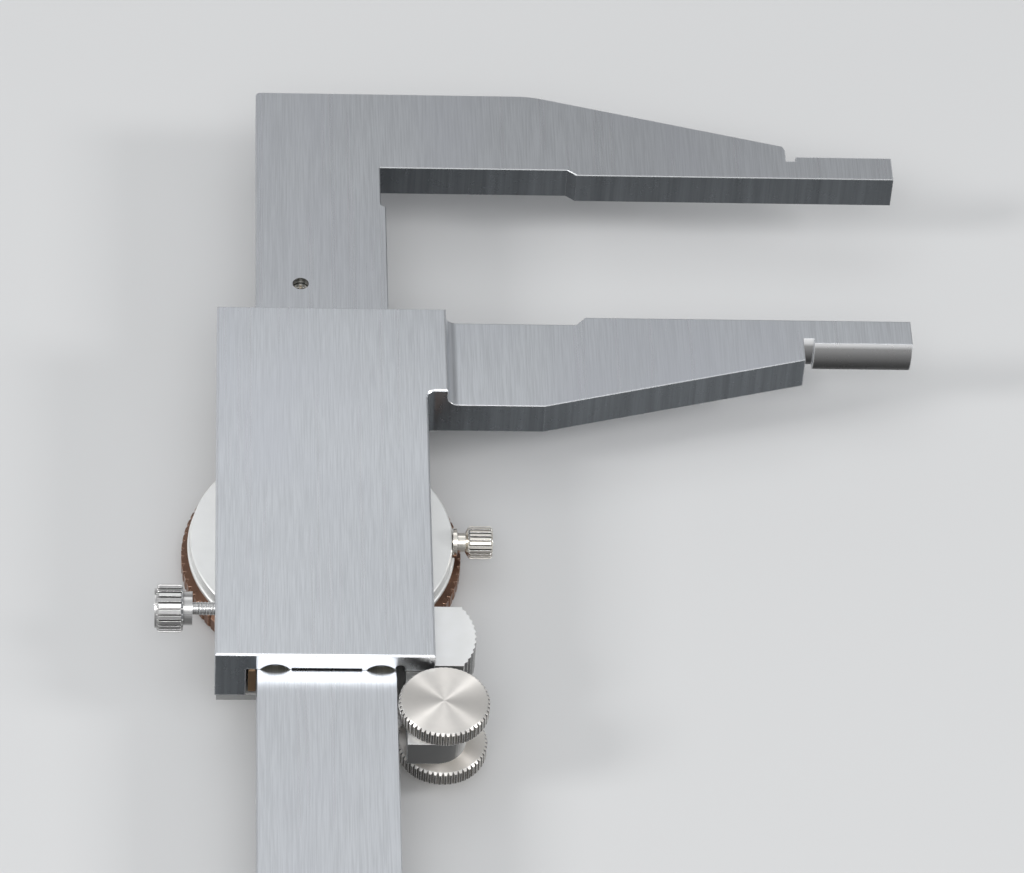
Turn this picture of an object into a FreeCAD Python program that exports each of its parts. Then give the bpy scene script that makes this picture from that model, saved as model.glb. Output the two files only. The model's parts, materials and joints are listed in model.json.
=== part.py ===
import FreeCAD, Part
import math
import os

# Dial caliper with long nib jaws, range 0 to 300 mm, lying with its dial down.
# X runs across the beam towards the jaw tips, Y along the beam towards the fixed jaw, Z up out of the back.
# The origin is on the beam's centre line, in the fixed measuring plane and in the beam's back face.
# All sizes are in millimetres.

V = FreeCAD.Vector

# Running and assembly clearances
RUN = 0.03
PIVOT_GAP = 0.02
SEAT_GAP = 0.1

# Beam and reading
BEAM_WIDTH = 18.0
BEAM_THICKNESS = 5.0
BEAM_PAST_STOP = 13.9
READING_AT_REST = 28.0
FULL_RANGE = 300.0

# Jaws, both reaching to the same tip
JAW_TIP_X = 80.3
NIB_RADIUS = 5.0
NIB_ROOT_X = 65.4
NIB_GROOVE_WIDTH = 1.45
NIB_GROOVE_DEPTH = 0.75
FACE_START_X = 35.8
FACE_STEP_RUN = 1.3
FACE_STEP_DEPTH = 1.0
JAW_KNEE_X = 29.7
JAW_KNEE_RADIUS = 14.0
SLIDER_SETBACK = 1.4
FIXED_JAW_DEPTH = 16.0
FIXED_TAPER_DEPTH = 6.5
FIXED_TAPER_CHAMFER = 0.7
MOVING_JAW_DEPTH = 16.75
MOVING_TAPER_DEPTH = 7.5
CORNER_RELIEF_DEPTH = 0.7
CORNER_RELIEF_LENGTH = 7.4
BEAM_CORNER_RADIUS = 0.6

# Slider body
SLIDER_LENGTH = 62.4
SLIDER_BACK_THICKNESS = 2.8
SLIDER_LEFT_X = -14.3
SLIDER_RIGHT_X = 13.8
JAW_BOSS_X = 16.6
JAW_BOSS_FILLET = 1.5
JAW_BOSS_CORNER = 1.15
BACK_LAND_RELIEF_WIDTH = 9.0
BACK_LAND_RELIEF_DEPTH = 0.3
CHANNEL_UNDERCUT_RADIUS = 0.63
CHANNEL_UNDERCUT_SHIFT = 0.35
LAND_SCALLOP_XS = (-6.6, 6.95)
LAND_SCALLOP_WIDTH = 3.9
LAND_SCALLOP_HEIGHT = 1.0
LAND_SCALLOP_DEPTH = 0.8
LAND_SCALLOP_TAPER = 0.9
EDGE_BREAK = 0.2
FINE_BREAK = 0.12

# Cover plate on the dial side
COVER_THICKNESS = 1.2
COVER_INSET = 0.2

# Gib strip and its grub screws
GIB_THICKNESS = 1.0
GIB_HEIGHT = 4.2
GIB_SIDE_GAP = 0.3
GIB_END_GAP = 0.3
GIB_CORNER_BREAK = 0.25
GRUB_FROM_TOP = 7.6
GRUB_FROM_END = 20.8
GRUB_RADIUS = 1.0
GRUB_LENGTH = 3.0
GRUB_POINT_RADIUS = 0.5
GRUB_POINT_LENGTH = 0.4
GRUB_HEX_ACROSS = 0.9
GRUB_HEX_DEPTH = 1.0

# Lock screw through the slider's left wall
LOCK_FROM_END = 12.5
LOCK_SHANK_RADIUS = 0.8
LOCK_STANDOFF = 2.9
LOCK_COLLAR_RADIUS = 2.2
LOCK_COLLAR_LENGTH = 1.2
LOCK_HEAD_RADIUS = 3.15
LOCK_HEAD_LENGTH = 3.4
LOCK_KNURLS = 25
LOCK_END_LENGTH = 0.3
KNURL_DEPTH = 0.28
KNURL_LAND_SHARE = 0.62
KNURL_FLOOR_SHARE = 0.16
KNURL_CHAMFER = 0.3

# Rack let into the beam's front face, and the screws that hold it
RACK_PITCH = 10.0 / 12
RACK_SPARE_TEETH = 11
RACK_TOP_GAP = 1.2
RACK_BACK_X = -4.4
RACK_CREST = 0.28
RACK_VALLEY = 0.44
RACK_HEIGHT = 1.5
RACK_SINK = 0.2
GROOVE_DEPTH = 1.7
GROOVE_CLEARANCE = 0.4
RACK_SCREW_X = -2.9
RACK_SCREW_HEAD_RADIUS = 1.0
RACK_SCREW_HEAD_HEIGHT = 0.8
RACK_SCREW_SINK = 1.0
RACK_SCREW_SHANK_RADIUS = 0.55
RACK_SCREW_TOP_MARGIN = 1.42
RACK_SCREW_END_MARGIN = 3.0
SLOT_WIDTH = 0.3
SLOT_DEPTH = 0.3

# Screw that stops the slider at the end of the beam
STOP_MARGIN = 0.4
STOP_HEAD_RADIUS = 1.9
STOP_HEAD_HEIGHT = 1.1
STOP_SHANK_RADIUS = 1.0
STOP_SHANK_LENGTH = 3.2

# Dial case, a turned shell on the cover plate
DIAL_FROM_TOP = 33.9
CASE_SKIRT_RADIUS = 16.2
CASE_SKIRT_HEIGHT = 1.85
CASE_RING_OVERHANG = 1.5
CASE_RING_HEIGHT = 0.6
CASE_FLANGE_SETBACK = 0.35
CASE_FLANGE_HEIGHT = 1.45
CASE_EDGE_BREAK = 0.15
CASE_WALL = 1.2
CASE_FLOOR = 1.2
CASE_SCREW_X = 11.6
CASE_SCREW_DY = 6.0
SMALL_HEAD_RADIUS = 1.1
SMALL_HEAD_HEIGHT = 0.4
SMALL_SHANK_RADIUS = 0.6
CASE_SCREW_REACH = 3.2
COVER_SCREW_XS = (-12.3, 11.4)
COVER_SCREW_REACH = 2.4
COVER_SCREW_MARGIN = 3.2

# Gear train: rack pinion, split drive wheel, centre pinion
RACK_PINION_TEETH = 12
RACK_PINION_TIP = 0.20
RACK_PINION_ROOT = 0.33
RACK_PINION_HEIGHT = 1.2
WHEEL_MODULE = 0.2
WHEEL_TEETH = 60
CENTRE_PINION_TEETH = 12
GEAR_TIP = 0.16
GEAR_ROOT = 0.23
WHEEL_THICKNESS = 0.35
SPRING_WIRE = 0.2
SPRING_RADIUS = 2.2
SPRING_OPENING = 40.0
ARBOR_RADIUS = 0.7
ARBOR_HUB_RADIUS = 1.0
ARBOR_PIVOT_RADIUS = 0.35
CENTRE_ARBOR_RADIUS = 0.45
POINTER_SEAT_RADIUS = 0.3
WHEEL_FLOOR_GAP = 0.3
WHEEL_SPACING = 0.25
BRIDGE_GAP = 0.25
BRIDGE_THICKNESS = 0.6
BRIDGE_RADIUS = 11.3
BRIDGE_PILLAR_RADIUS = 1.5
BRIDGE_PILLAR_CIRCLE = 9.6
BRIDGE_PILLAR_ANGLES = (200.0, 270.0, 340.0)

# Dial plate, pointer, bezel and crystal
DIAL_EDGE_GAP = 0.1
DIAL_THICKNESS = 0.4
DIAL_HOLE_RADIUS = 1.4
DIAL_GAP = 0.1
POINTER_THICKNESS = 0.2
POINTER_LENGTH = 12.6
POINTER_TAIL = 4.0
POINTER_TAIL_WIDTH = 0.9
POINTER_TIP_WIDTH = 0.24
POINTER_HUB_RADIUS = 1.1
POINTER_HUB_HEIGHT = 0.3
POINTER_GAP = 0.15
BEZEL_WALL = 2.3
BEZEL_CONE_LAND = 0.8
BEZEL_CONE_HEIGHT = 1.0
BEZEL_BACK_GAP = 0.3
BEZEL_HEIGHT = 3.4
BEZEL_NOTCHES = 82
BEZEL_NOTCH_DEPTH = 0.4
BEZEL_LAND_SHARE = 0.55
BEZEL_SHELF = 0.55
BEZEL_SHELF_WIDTH = 0.7
BEZEL_LIP = 0.45
BEZEL_BORE_GAP = 0.02
CRYSTAL_SEAT = 0.4
CRYSTAL_THICKNESS = 0.7
CRYSTAL_BEVEL = 0.2
SNAP_RING_WIRE = 0.5
SNAP_RING_GAP_ANGLE = 30.0

# Clamp screw that holds the bezel
CLAMP_STANDOFF = 0.1
CLAMP_SHANK_RADIUS = 0.5
CLAMP_SHANK_LENGTH = 2.4
CLAMP_FLANGE_RADIUS = 1.9
CLAMP_FLANGE_THICKNESS = 0.55
CLAMP_NECK_RADIUS = 1.3
CLAMP_NECK_LENGTH = 1.1
CLAMP_CONE_LENGTH = 0.3
CLAMP_HEAD_RADIUS = 2.2
CLAMP_HEAD_LENGTH = 3.3
CLAMP_KNURLS = 24

# Thumb rest with the roller arm, one piece screwed into the slider's right wall
REST_FROM_END = 10.95
REST_KNURL_FROM_TOP = 5.05
REST_REACH_X = 19.3
REST_KNURL_RADIUS = 8.1
REST_KNURLS = 12
REST_KNURL_DEPTH = 0.22
ARM_LEFT_X = 10.15
ARM_RIGHT_X = 17.8
ARM_END_RADIUS = 4.0
ARM_STEP = 1.25
ARM_REACH = 5.2
REST_SCREW_X = 11.95
REST_SCREW_FROM_TOP = 2.75
REST_SCREW_SPACING = 5.4
REST_SCREW_REACH = 7.9

# Thumb roller: upper disc with its spindle, lower disc, screw
ROLLER_RADIUS = 5.8
ROLLER_END_GAP = 0.25
ROLLER_TOP = 1.3
ROLLER_DISC_HEIGHT = 2.35
ROLLER_LOWER_TOP = 6.4
ROLLER_TEETH = 54
ROLLER_LAND_SHARE = 0.45
ROLLER_KNURL_DEPTH = 0.3
ROLLER_CHAMFER = 0.3
SPINDLE_RADIUS = 1.5
SPINDLE_LENGTH = 7.0
ROLLER_HUB_RADIUS = 2.6
ROLLER_SCREW_HEAD_RADIUS = 1.5
ROLLER_SCREW_HEAD_HEIGHT = 0.7
ROLLER_SCREW_SHANK_RADIUS = 0.7
ROLLER_SCREW_SHANK_LENGTH = 3.0

# Places worked out from the sizes above
HALF_WIDTH = BEAM_WIDTH / 2
MOVING_FACE_Y = -READING_AT_REST
SLIDER_TOP_Y = MOVING_FACE_Y - SLIDER_SETBACK
SLIDER_END_Y = SLIDER_TOP_Y - SLIDER_LENGTH
JAW_LOWER_Y = MOVING_FACE_Y - MOVING_JAW_DEPTH
CHANNEL_TOP_Z = RUN
WALL_FOOT_Z = -BEAM_THICKNESS - RUN
SLIDER_BACK_Z = CHANNEL_TOP_Z + SLIDER_BACK_THICKNESS
COVER_FRONT_Z = WALL_FOOT_Z - COVER_THICKNESS
RIGHT_WALL_X = HALF_WIDTH + RUN
GIB_RIGHT_X = -HALF_WIDTH - RUN
GIB_LEFT_X = GIB_RIGHT_X - GIB_THICKNESS
LEFT_WALL_X = GIB_LEFT_X - GIB_SIDE_GAP
MID_Z = -BEAM_THICKNESS / 2
DIAL_X = (SLIDER_LEFT_X + SLIDER_RIGHT_X) / 2
DIAL_Y = SLIDER_TOP_Y - DIAL_FROM_TOP
LOCK_Y = SLIDER_END_Y + LOCK_FROM_END
GRUB_YS = (SLIDER_TOP_Y - GRUB_FROM_TOP, SLIDER_END_Y + GRUB_FROM_END)
REST_TOP_Y = SLIDER_END_Y + REST_FROM_END
REST_KNURL_CENTRE_Y = REST_TOP_Y - REST_KNURL_FROM_TOP
REST_SCREW_YS = (REST_TOP_Y - REST_SCREW_FROM_TOP, REST_TOP_Y - REST_SCREW_FROM_TOP - REST_SCREW_SPACING)
CASE_RING_RADIUS = CASE_SKIRT_RADIUS + CASE_RING_OVERHANG
CASE_FLANGE_RADIUS = CASE_RING_RADIUS - CASE_FLANGE_SETBACK
CASE_CAVITY_RADIUS = CASE_SKIRT_RADIUS - CASE_WALL
BEZEL_RADIUS = CASE_SKIRT_RADIUS + BEZEL_WALL
BEZEL_CONE_RADIUS = CASE_SKIRT_RADIUS + BEZEL_CONE_LAND
BEZEL_SHELF_RADIUS = CASE_SKIRT_RADIUS - BEZEL_SHELF_WIDTH
CRYSTAL_RADIUS = CASE_SKIRT_RADIUS + CRYSTAL_SEAT
DIAL_RADIUS = CASE_SKIRT_RADIUS - DIAL_EDGE_GAP
RACK_PITCH_RADIUS = RACK_PITCH * RACK_PINION_TEETH / (2 * math.pi)
PINION_X = DIAL_X
CENTRE_DISTANCE = WHEEL_MODULE * (WHEEL_TEETH + CENTRE_PINION_TEETH) / 2
PINION_Y = DIAL_Y + CENTRE_DISTANCE
RACK_TEETH_ABOVE = math.ceil((READING_AT_REST + 4 * RACK_PITCH_RADIUS) / RACK_PITCH)
RACK_TEETH_BELOW = math.ceil((FULL_RANGE - READING_AT_REST) / RACK_PITCH) + RACK_SPARE_TEETH
RACK_TEETH = RACK_TEETH_ABOVE + RACK_TEETH_BELOW
RACK_PITCH_X = PINION_X - RACK_PITCH_RADIUS
GROOVE_RIGHT_X = PINION_X + RACK_PITCH_RADIUS + RACK_PINION_TIP + GROOVE_CLEARANCE
GROOVE_FLOOR_Z = -BEAM_THICKNESS + GROOVE_DEPTH
STOP_Y = SLIDER_END_Y + READING_AT_REST - FULL_RANGE - STOP_MARGIN - STOP_HEAD_RADIUS
BEAM_END_Y = STOP_Y - BEAM_PAST_STOP
FLOOR_Z = COVER_FRONT_Z - CASE_FLOOR
RING_Z = COVER_FRONT_Z - CASE_FLANGE_HEIGHT
SKIRT_Z = RING_Z - CASE_RING_HEIGHT
CASE_END_Z = SKIRT_Z - CASE_SKIRT_HEIGHT
WHEEL_Z = FLOOR_Z - WHEEL_FLOOR_GAP
SECOND_WHEEL_Z = WHEEL_Z - WHEEL_THICKNESS - WHEEL_SPACING
TRAIN_END_Z = SECOND_WHEEL_Z - WHEEL_THICKNESS
BRIDGE_Z = TRAIN_END_Z - BRIDGE_GAP
BRIDGE_FRONT_Z = BRIDGE_Z - BRIDGE_THICKNESS
DIAL_Z = CASE_END_Z - DIAL_GAP
DIAL_FRONT_Z = DIAL_Z - DIAL_THICKNESS
SHELF_FRONT_Z = DIAL_FRONT_Z - BEZEL_SHELF
BEZEL_BACK_Z = SKIRT_Z - BEZEL_BACK_GAP
BEZEL_FRONT_Z = BEZEL_BACK_Z - BEZEL_HEIGHT
ROLLER_X = HALF_WIDTH + ROLLER_RADIUS + RUN
ROLLER_Y = SLIDER_END_Y - ROLLER_RADIUS - ROLLER_END_GAP
POCKET_TOP_Y = REST_TOP_Y + SEAT_GAP


def box(x0, x1, y0, y1, z0, z1):
    """A block between two corners."""
    return Part.makeBox(x1 - x0, y1 - y0, z1 - z0, V(x0, y0, z0))


def rod_z(x, y, z0, z1, radius):
    """A round bar along Z."""
    return Part.makeCylinder(radius, z1 - z0, V(x, y, z0), V(0, 0, 1))


def rod_x(y, z, x0, x1, radius):
    """A round bar along X."""
    return Part.makeCylinder(radius, x1 - x0, V(x0, y, z), V(1, 0, 0))


def outline(corners):
    """A closed wire in the XY plane. A corner with a third number is rounded to that radius."""
    count = len(corners)
    starts = []
    ends = []
    arcs = []
    for i in range(count):
        here = V(corners[i][0], corners[i][1], 0)
        radius = corners[i][2] if len(corners[i]) > 2 else 0.0
        if radius == 0.0:
            starts.append(here)
            ends.append(here)
            arcs.append(None)
            continue
        before = V(corners[i - 1][0], corners[i - 1][1], 0)
        after = V(corners[(i + 1) % count][0], corners[(i + 1) % count][1], 0)
        back = (before - here).normalize()
        ahead = (after - here).normalize()
        half = back.getAngle(ahead) / 2
        reach = radius / math.tan(half)
        middle = here + (back + ahead).normalize() * (radius / math.sin(half) - radius)
        starts.append(here + back * reach)
        ends.append(here + ahead * reach)
        arcs.append(Part.Arc(starts[i], middle, ends[i]).toShape())
    edges = []
    for i in range(count):
        if arcs[i]:
            edges.append(arcs[i])
        following = starts[(i + 1) % count]
        if (following - ends[i]).Length > 1e-6:
            edges.append(Part.LineSegment(ends[i], following).toShape())
    return Part.Wire(edges)


def prism(corners, z0, z1):
    """An outline drawn up from z0 to z1."""
    face = Part.Face(outline(corners))
    face.translate(V(0, 0, z0))
    return face.extrude(V(0, 0, z1 - z0))


def turned(profile, x, y):
    """A solid of revolution about a vertical line, from (radius, z) corners."""
    wire = Part.makePolygon([V(r, 0, z) for r, z in profile + profile[:1]])
    solid = Part.Face(wire).revolve(V(0, 0, 0), V(0, 0, 1), 360)
    solid.translate(V(x, y, 0))
    return solid


def serrated(radius, depth, count, x=0.0, y=0.0, land=0.0, floor=0.0):
    """Corners of a round outline with straight knurls. land and floor are shares of the pitch."""
    corners = []
    step = 2 * math.pi / count
    for i in range(count):
        for reach, middle, half in ((radius, i, land / 2), (radius - depth, i + 0.5, floor / 2)):
            for share in sorted({-half, half}):
                angle = step * (middle + share)
                corners.append((x + reach * math.cos(angle), y + reach * math.sin(angle)))
    return corners


def knurled_bar(radius, count, length):
    """A straight-knurled bar with chamfered ends, from the origin along X."""
    corners = serrated(radius, KNURL_DEPTH, count, 0, 0, KNURL_LAND_SHARE, KNURL_FLOOR_SHARE)
    blank = turned(
        [
            (0, 0),
            (radius - KNURL_CHAMFER, 0),
            (radius, KNURL_CHAMFER),
            (radius, length - KNURL_CHAMFER),
            (radius - KNURL_CHAMFER, length),
            (0, length),
        ],
        0,
        0,
    )
    bar = blank.common(prism(corners, 0, length))
    bar.rotate(V(0, 0, 0), V(0, 1, 0), 90)
    return bar


def knurled_disc(x, y, low, high, radius):
    """A straight-knurled disc of the thumb roller, with chamfered rims."""
    blank = turned(
        [
            (0, low),
            (radius - ROLLER_CHAMFER, low),
            (radius, low + ROLLER_CHAMFER),
            (radius, high - ROLLER_CHAMFER),
            (radius - ROLLER_CHAMFER, high),
            (0, high),
        ],
        x,
        y,
    )
    land = ROLLER_LAND_SHARE
    corners = serrated(radius, ROLLER_KNURL_DEPTH, ROLLER_TEETH, x, y, land, KNURL_FLOOR_SHARE)
    return blank.common(prism(corners, low, high))


def gear(x, y, z0, z1, pitch_radius, teeth, tip, root, first_tooth):
    """A spur gear with straight-flanked teeth. first_tooth is the angle of one tooth, in degrees."""
    corners = []
    step = 2 * math.pi / teeth
    for i in range(teeth):
        middle = math.radians(first_tooth) + step * i
        for reach, share in (
            (pitch_radius - root, -0.30),
            (pitch_radius + tip, -0.10),
            (pitch_radius + tip, 0.10),
            (pitch_radius - root, 0.30),
        ):
            angle = middle + share * step
            corners.append((x + reach * math.cos(angle), y + reach * math.sin(angle)))
    return prism(corners, z0, z1)


def fused(first, *others):
    """One clean solid of several that touch or overlap."""
    shape = first
    for other in others:
        shape = shape.fuse(other)
    return shape.removeSplitter()


def group(shapes):
    """Separate like solids that share one node."""
    return Part.makeCompound(shapes)


def edge_break(shape, size, z):
    """Breaks the edges that lie in one horizontal plane."""
    chosen = []
    for edge in shape.Edges:
        bounds = edge.BoundBox
        if abs(bounds.ZMin - z) < 1e-4 and abs(bounds.ZMax - z) < 1e-4:
            chosen.append(edge)
    return shape.makeChamfer(size, chosen)


def small_screw(x, y, head_z, reach):
    """A flush screw whose head faces down at head_z and whose shank points up."""
    head = rod_z(x, y, head_z, head_z + SMALL_HEAD_HEIGHT, SMALL_HEAD_RADIUS)
    shank = rod_z(x, y, head_z, head_z + reach, SMALL_SHANK_RADIUS)
    slot = box(
        x - SMALL_HEAD_RADIUS, x + SMALL_HEAD_RADIUS,
        y - SLOT_WIDTH / 2, y + SLOT_WIDTH / 2,
        head_z, head_z + SLOT_DEPTH / 2,
    )
    return fused(head, shank).cut(slot)


def small_screw_hole(x, y, head_z, reach):
    """The hole that a flush screw fills."""
    head = rod_z(x, y, head_z, head_z + SMALL_HEAD_HEIGHT, SMALL_HEAD_RADIUS)
    return head.fuse(rod_z(x, y, head_z, head_z + reach, SMALL_SHANK_RADIUS))


def nib(face_y, side):
    """The slim end of a jaw: flat inside, round outside, with a turned groove at its root.

    side is 1 above the measuring face and -1 below it.
    """
    start = NIB_ROOT_X + NIB_GROOVE_WIDTH
    neck = rod_x(face_y, MID_Z, NIB_ROOT_X, start, NIB_RADIUS - NIB_GROOVE_DEPTH)
    drum = rod_x(face_y, MID_Z, start, JAW_TIP_X, NIB_RADIUS)
    low, high = sorted((face_y, face_y + side * NIB_RADIUS))
    return neck.fuse(drum).common(box(NIB_ROOT_X, JAW_TIP_X, low, high, -BEAM_THICKNESS, 0))


def jaw_face_corners(face_y, side, step_depth, x_start):
    """Corners of a jaw along its measuring face, from the root of the nib to the step."""
    return [
        (NIB_ROOT_X, face_y),
        (FACE_START_X, face_y),
        (FACE_START_X - FACE_STEP_RUN, face_y + side * step_depth),
        (x_start, face_y + side * step_depth),
    ]


def make_beam():
    """The beam and the fixed jaw, cut from one plate."""
    relief_x = HALF_WIDTH - CORNER_RELIEF_DEPTH
    relief_end_y = FACE_STEP_DEPTH - CORNER_RELIEF_LENGTH
    corners = [
        (-HALF_WIDTH, BEAM_END_Y),
        (-HALF_WIDTH, FIXED_JAW_DEPTH, BEAM_CORNER_RADIUS),
        (JAW_KNEE_X, FIXED_JAW_DEPTH, JAW_KNEE_RADIUS),
        (NIB_ROOT_X - FIXED_TAPER_CHAMFER / 2, FIXED_TAPER_DEPTH),
        (NIB_ROOT_X, FIXED_TAPER_DEPTH - FIXED_TAPER_CHAMFER),
    ]
    corners += jaw_face_corners(0.0, 1, FACE_STEP_DEPTH, relief_x)
    corners += [
        (relief_x, relief_end_y, CORNER_RELIEF_DEPTH / 2),
        (HALF_WIDTH, relief_end_y - CORNER_RELIEF_DEPTH / 2),
        (HALF_WIDTH, BEAM_END_Y),
    ]
    plate = fused(prism(corners, -BEAM_THICKNESS, 0), nib(0.0, 1))
    plate = edge_break(plate, FINE_BREAK, 0)
    groove = box(
        RACK_BACK_X, GROOVE_RIGHT_X,
        rack_end_y() - RACK_TOP_GAP, rack_top_y() + RACK_TOP_GAP,
        -BEAM_THICKNESS, GROOVE_FLOOR_Z,
    )
    plate = plate.cut(groove)
    for y in rack_screw_ys():
        plate = plate.cut(rod_z(RACK_SCREW_X, y, rack_screw_seat_z(), 0, RACK_SCREW_HEAD_RADIUS + SEAT_GAP))
        plate = plate.cut(rod_z(RACK_SCREW_X, y, GROOVE_FLOOR_Z, 0, RACK_SCREW_SHANK_RADIUS))
    stop_hole = rod_z(0, STOP_Y, -BEAM_THICKNESS, -BEAM_THICKNESS + STOP_SHANK_LENGTH, STOP_SHANK_RADIUS)
    return plate.cut(stop_hole)


def rack_top_y():
    """Upper end of the rack, past the pinion when the jaws are closed."""
    return PINION_Y + (RACK_TEETH_ABOVE + 0.5) * RACK_PITCH


def rack_end_y():
    """Lower end of the rack."""
    return rack_top_y() - RACK_TEETH * RACK_PITCH


def rack_screw_ys():
    """Places of the rack screws along the beam."""
    return (rack_top_y() - RACK_SCREW_TOP_MARGIN, rack_end_y() + RACK_SCREW_END_MARGIN)


def rack_screw_seat_z():
    """Height of the shoulder that a rack screw's head sits on."""
    return -RACK_SCREW_SINK - RACK_SCREW_HEAD_HEIGHT


def make_rack():
    """The toothed strip, its valleys in step with the pinion's teeth."""
    top = rack_top_y()
    corners = [(RACK_BACK_X, rack_end_y()), (RACK_BACK_X, top)]
    for i in range(RACK_TEETH):
        corners.append((RACK_PITCH_X + RACK_CREST, top - i * RACK_PITCH))
        corners.append((RACK_PITCH_X - RACK_VALLEY, top - (i + 0.5) * RACK_PITCH))
    corners.append((RACK_PITCH_X + RACK_CREST, rack_end_y()))
    low = GROOVE_FLOOR_Z - RACK_HEIGHT
    strip = prism(corners, low, GROOVE_FLOOR_Z)
    for y in rack_screw_ys():
        strip = strip.cut(rod_z(RACK_SCREW_X, y, low, GROOVE_FLOOR_Z, RACK_SCREW_SHANK_RADIUS))
    return strip


def make_rack_screws():
    """Sunk cross-slotted screws in the back of the beam, threaded into the rack."""
    screws = []
    for y in rack_screw_ys():
        seat = rack_screw_seat_z()
        top = seat + RACK_SCREW_HEAD_HEIGHT
        head = rod_z(RACK_SCREW_X, y, seat, top, RACK_SCREW_HEAD_RADIUS)
        shank = rod_z(RACK_SCREW_X, y, GROOVE_FLOOR_Z - RACK_HEIGHT, seat, RACK_SCREW_SHANK_RADIUS)
        screw = fused(head, shank)
        arm = 0.7 * RACK_SCREW_HEAD_RADIUS
        half = SLOT_WIDTH / 2
        for along, across in ((arm, half), (half, arm)):
            screw = screw.cut(
                box(
                    RACK_SCREW_X - along, RACK_SCREW_X + along,
                    y - across, y + across,
                    top - SLOT_DEPTH, top,
                )
            )
        screws.append(screw)
    return group(screws)


def make_stop_screw():
    """The screw near the beam's end that the cover plate runs up against."""
    face = -BEAM_THICKNESS
    head = rod_z(0, STOP_Y, face - STOP_HEAD_HEIGHT, face, STOP_HEAD_RADIUS)
    shank = rod_z(0, STOP_Y, face, face + STOP_SHANK_LENGTH, STOP_SHANK_RADIUS)
    slot = box(
        -STOP_HEAD_RADIUS, STOP_HEAD_RADIUS,
        STOP_Y - SLOT_WIDTH, STOP_Y + SLOT_WIDTH,
        face - STOP_HEAD_HEIGHT, face - STOP_HEAD_HEIGHT + SLOT_DEPTH,
    )
    return fused(head, shank).cut(slot)


def make_slider():
    """The slider body and the moving jaw, one piece, with the channel for the beam."""
    body = prism(
        [
            (SLIDER_LEFT_X, SLIDER_END_Y),
            (SLIDER_LEFT_X, SLIDER_TOP_Y),
            (JAW_BOSS_X, SLIDER_TOP_Y),
            (JAW_BOSS_X, JAW_LOWER_Y),
            (SLIDER_RIGHT_X, JAW_LOWER_Y, JAW_BOSS_CORNER),
            (SLIDER_RIGHT_X, SLIDER_END_Y),
        ],
        WALL_FOOT_Z,
        SLIDER_BACK_Z,
    )
    jaw_corners = [
        (SLIDER_RIGHT_X, JAW_LOWER_Y),
        (JAW_KNEE_X, JAW_LOWER_Y),
        (NIB_ROOT_X, MOVING_FACE_Y - MOVING_TAPER_DEPTH),
    ]
    jaw_corners += jaw_face_corners(MOVING_FACE_Y, -1, SLIDER_SETBACK, SLIDER_RIGHT_X)
    jaw = fused(prism(jaw_corners, -BEAM_THICKNESS, 0), nib(MOVING_FACE_Y, -1))
    body = fused(body, jaw, make_boss_fillet())
    body = body.cut(make_channel())
    body = body.cut(box(
        RIGHT_WALL_X, SLIDER_RIGHT_X,
        SLIDER_END_Y, POCKET_TOP_Y,
        WALL_FOOT_Z, CHANNEL_TOP_Z,
    ))
    body = edge_break(body, EDGE_BREAK, SLIDER_BACK_Z)
    for x in LAND_SCALLOP_XS:
        body = body.cut(land_scallop(x))
    body = body.cut(rod_x(LOCK_Y, MID_Z, SLIDER_LEFT_X, LEFT_WALL_X, LOCK_SHANK_RADIUS + RUN))
    for y in GRUB_YS:
        body = body.cut(rod_x(y, MID_Z, SLIDER_LEFT_X, LEFT_WALL_X, GRUB_RADIUS))
    for x, y in cover_screw_places():
        body = body.cut(small_screw_hole(x, y, COVER_FRONT_Z, COVER_SCREW_REACH))
    for x, y in case_screw_places():
        body = body.cut(small_screw_hole(x, y, FLOOR_Z, CASE_SCREW_REACH + CASE_FLOOR))
    for y in REST_SCREW_YS:
        body = body.cut(small_screw_hole(REST_SCREW_X, y, COVER_FRONT_Z, REST_SCREW_REACH))
    return body


def make_boss_fillet():
    """The hollow round between the raised boss and the back of the moving jaw."""
    length = SLIDER_TOP_Y - JAW_LOWER_Y
    block = box(JAW_BOSS_X, JAW_BOSS_X + JAW_BOSS_FILLET, JAW_LOWER_Y, SLIDER_TOP_Y, 0, JAW_BOSS_FILLET)
    hollow = Part.makeCylinder(
        JAW_BOSS_FILLET, length,
        V(JAW_BOSS_X + JAW_BOSS_FILLET, JAW_LOWER_Y, JAW_BOSS_FILLET),
        V(0, 1, 0),
    )
    return block.cut(hollow)


def make_channel():
    """The space that the beam and the gib run in, with its back relief and corner undercuts."""
    low = SLIDER_END_Y
    high = SLIDER_TOP_Y
    channel = box(LEFT_WALL_X, RIGHT_WALL_X, low, high, WALL_FOOT_Z, CHANNEL_TOP_Z)
    half = BACK_LAND_RELIEF_WIDTH / 2
    relief = box(-half, half, low, high, CHANNEL_TOP_Z, CHANNEL_TOP_Z + BACK_LAND_RELIEF_DEPTH)
    corner = Part.makeCylinder(
        CHANNEL_UNDERCUT_RADIUS, high - low,
        V(RIGHT_WALL_X + CHANNEL_UNDERCUT_SHIFT, low, CHANNEL_TOP_Z + CHANNEL_UNDERCUT_SHIFT),
        V(0, 1, 0),
    )
    return channel.fuse(relief).fuse(corner)


def land_scallop(x):
    """A cone that leaves a lens-shaped scallop where a channel land meets the slider's end face."""
    half = LAND_SCALLOP_WIDTH / 2
    radius = (half ** 2 + LAND_SCALLOP_HEIGHT ** 2) / (2 * LAND_SCALLOP_HEIGHT)
    centre = V(x, SLIDER_END_Y, CHANNEL_TOP_Z + LAND_SCALLOP_HEIGHT - radius)
    return Part.makeCone(radius, radius - LAND_SCALLOP_TAPER, LAND_SCALLOP_DEPTH, centre, V(0, 1, 0))


def cover_screw_places():
    """Centres of the screws that hold the cover plate alone."""
    left, right = COVER_SCREW_XS
    top = SLIDER_TOP_Y - COVER_SCREW_MARGIN
    end = SLIDER_END_Y + COVER_SCREW_MARGIN
    return ((left, top), (right, top), (left, end))


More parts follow.
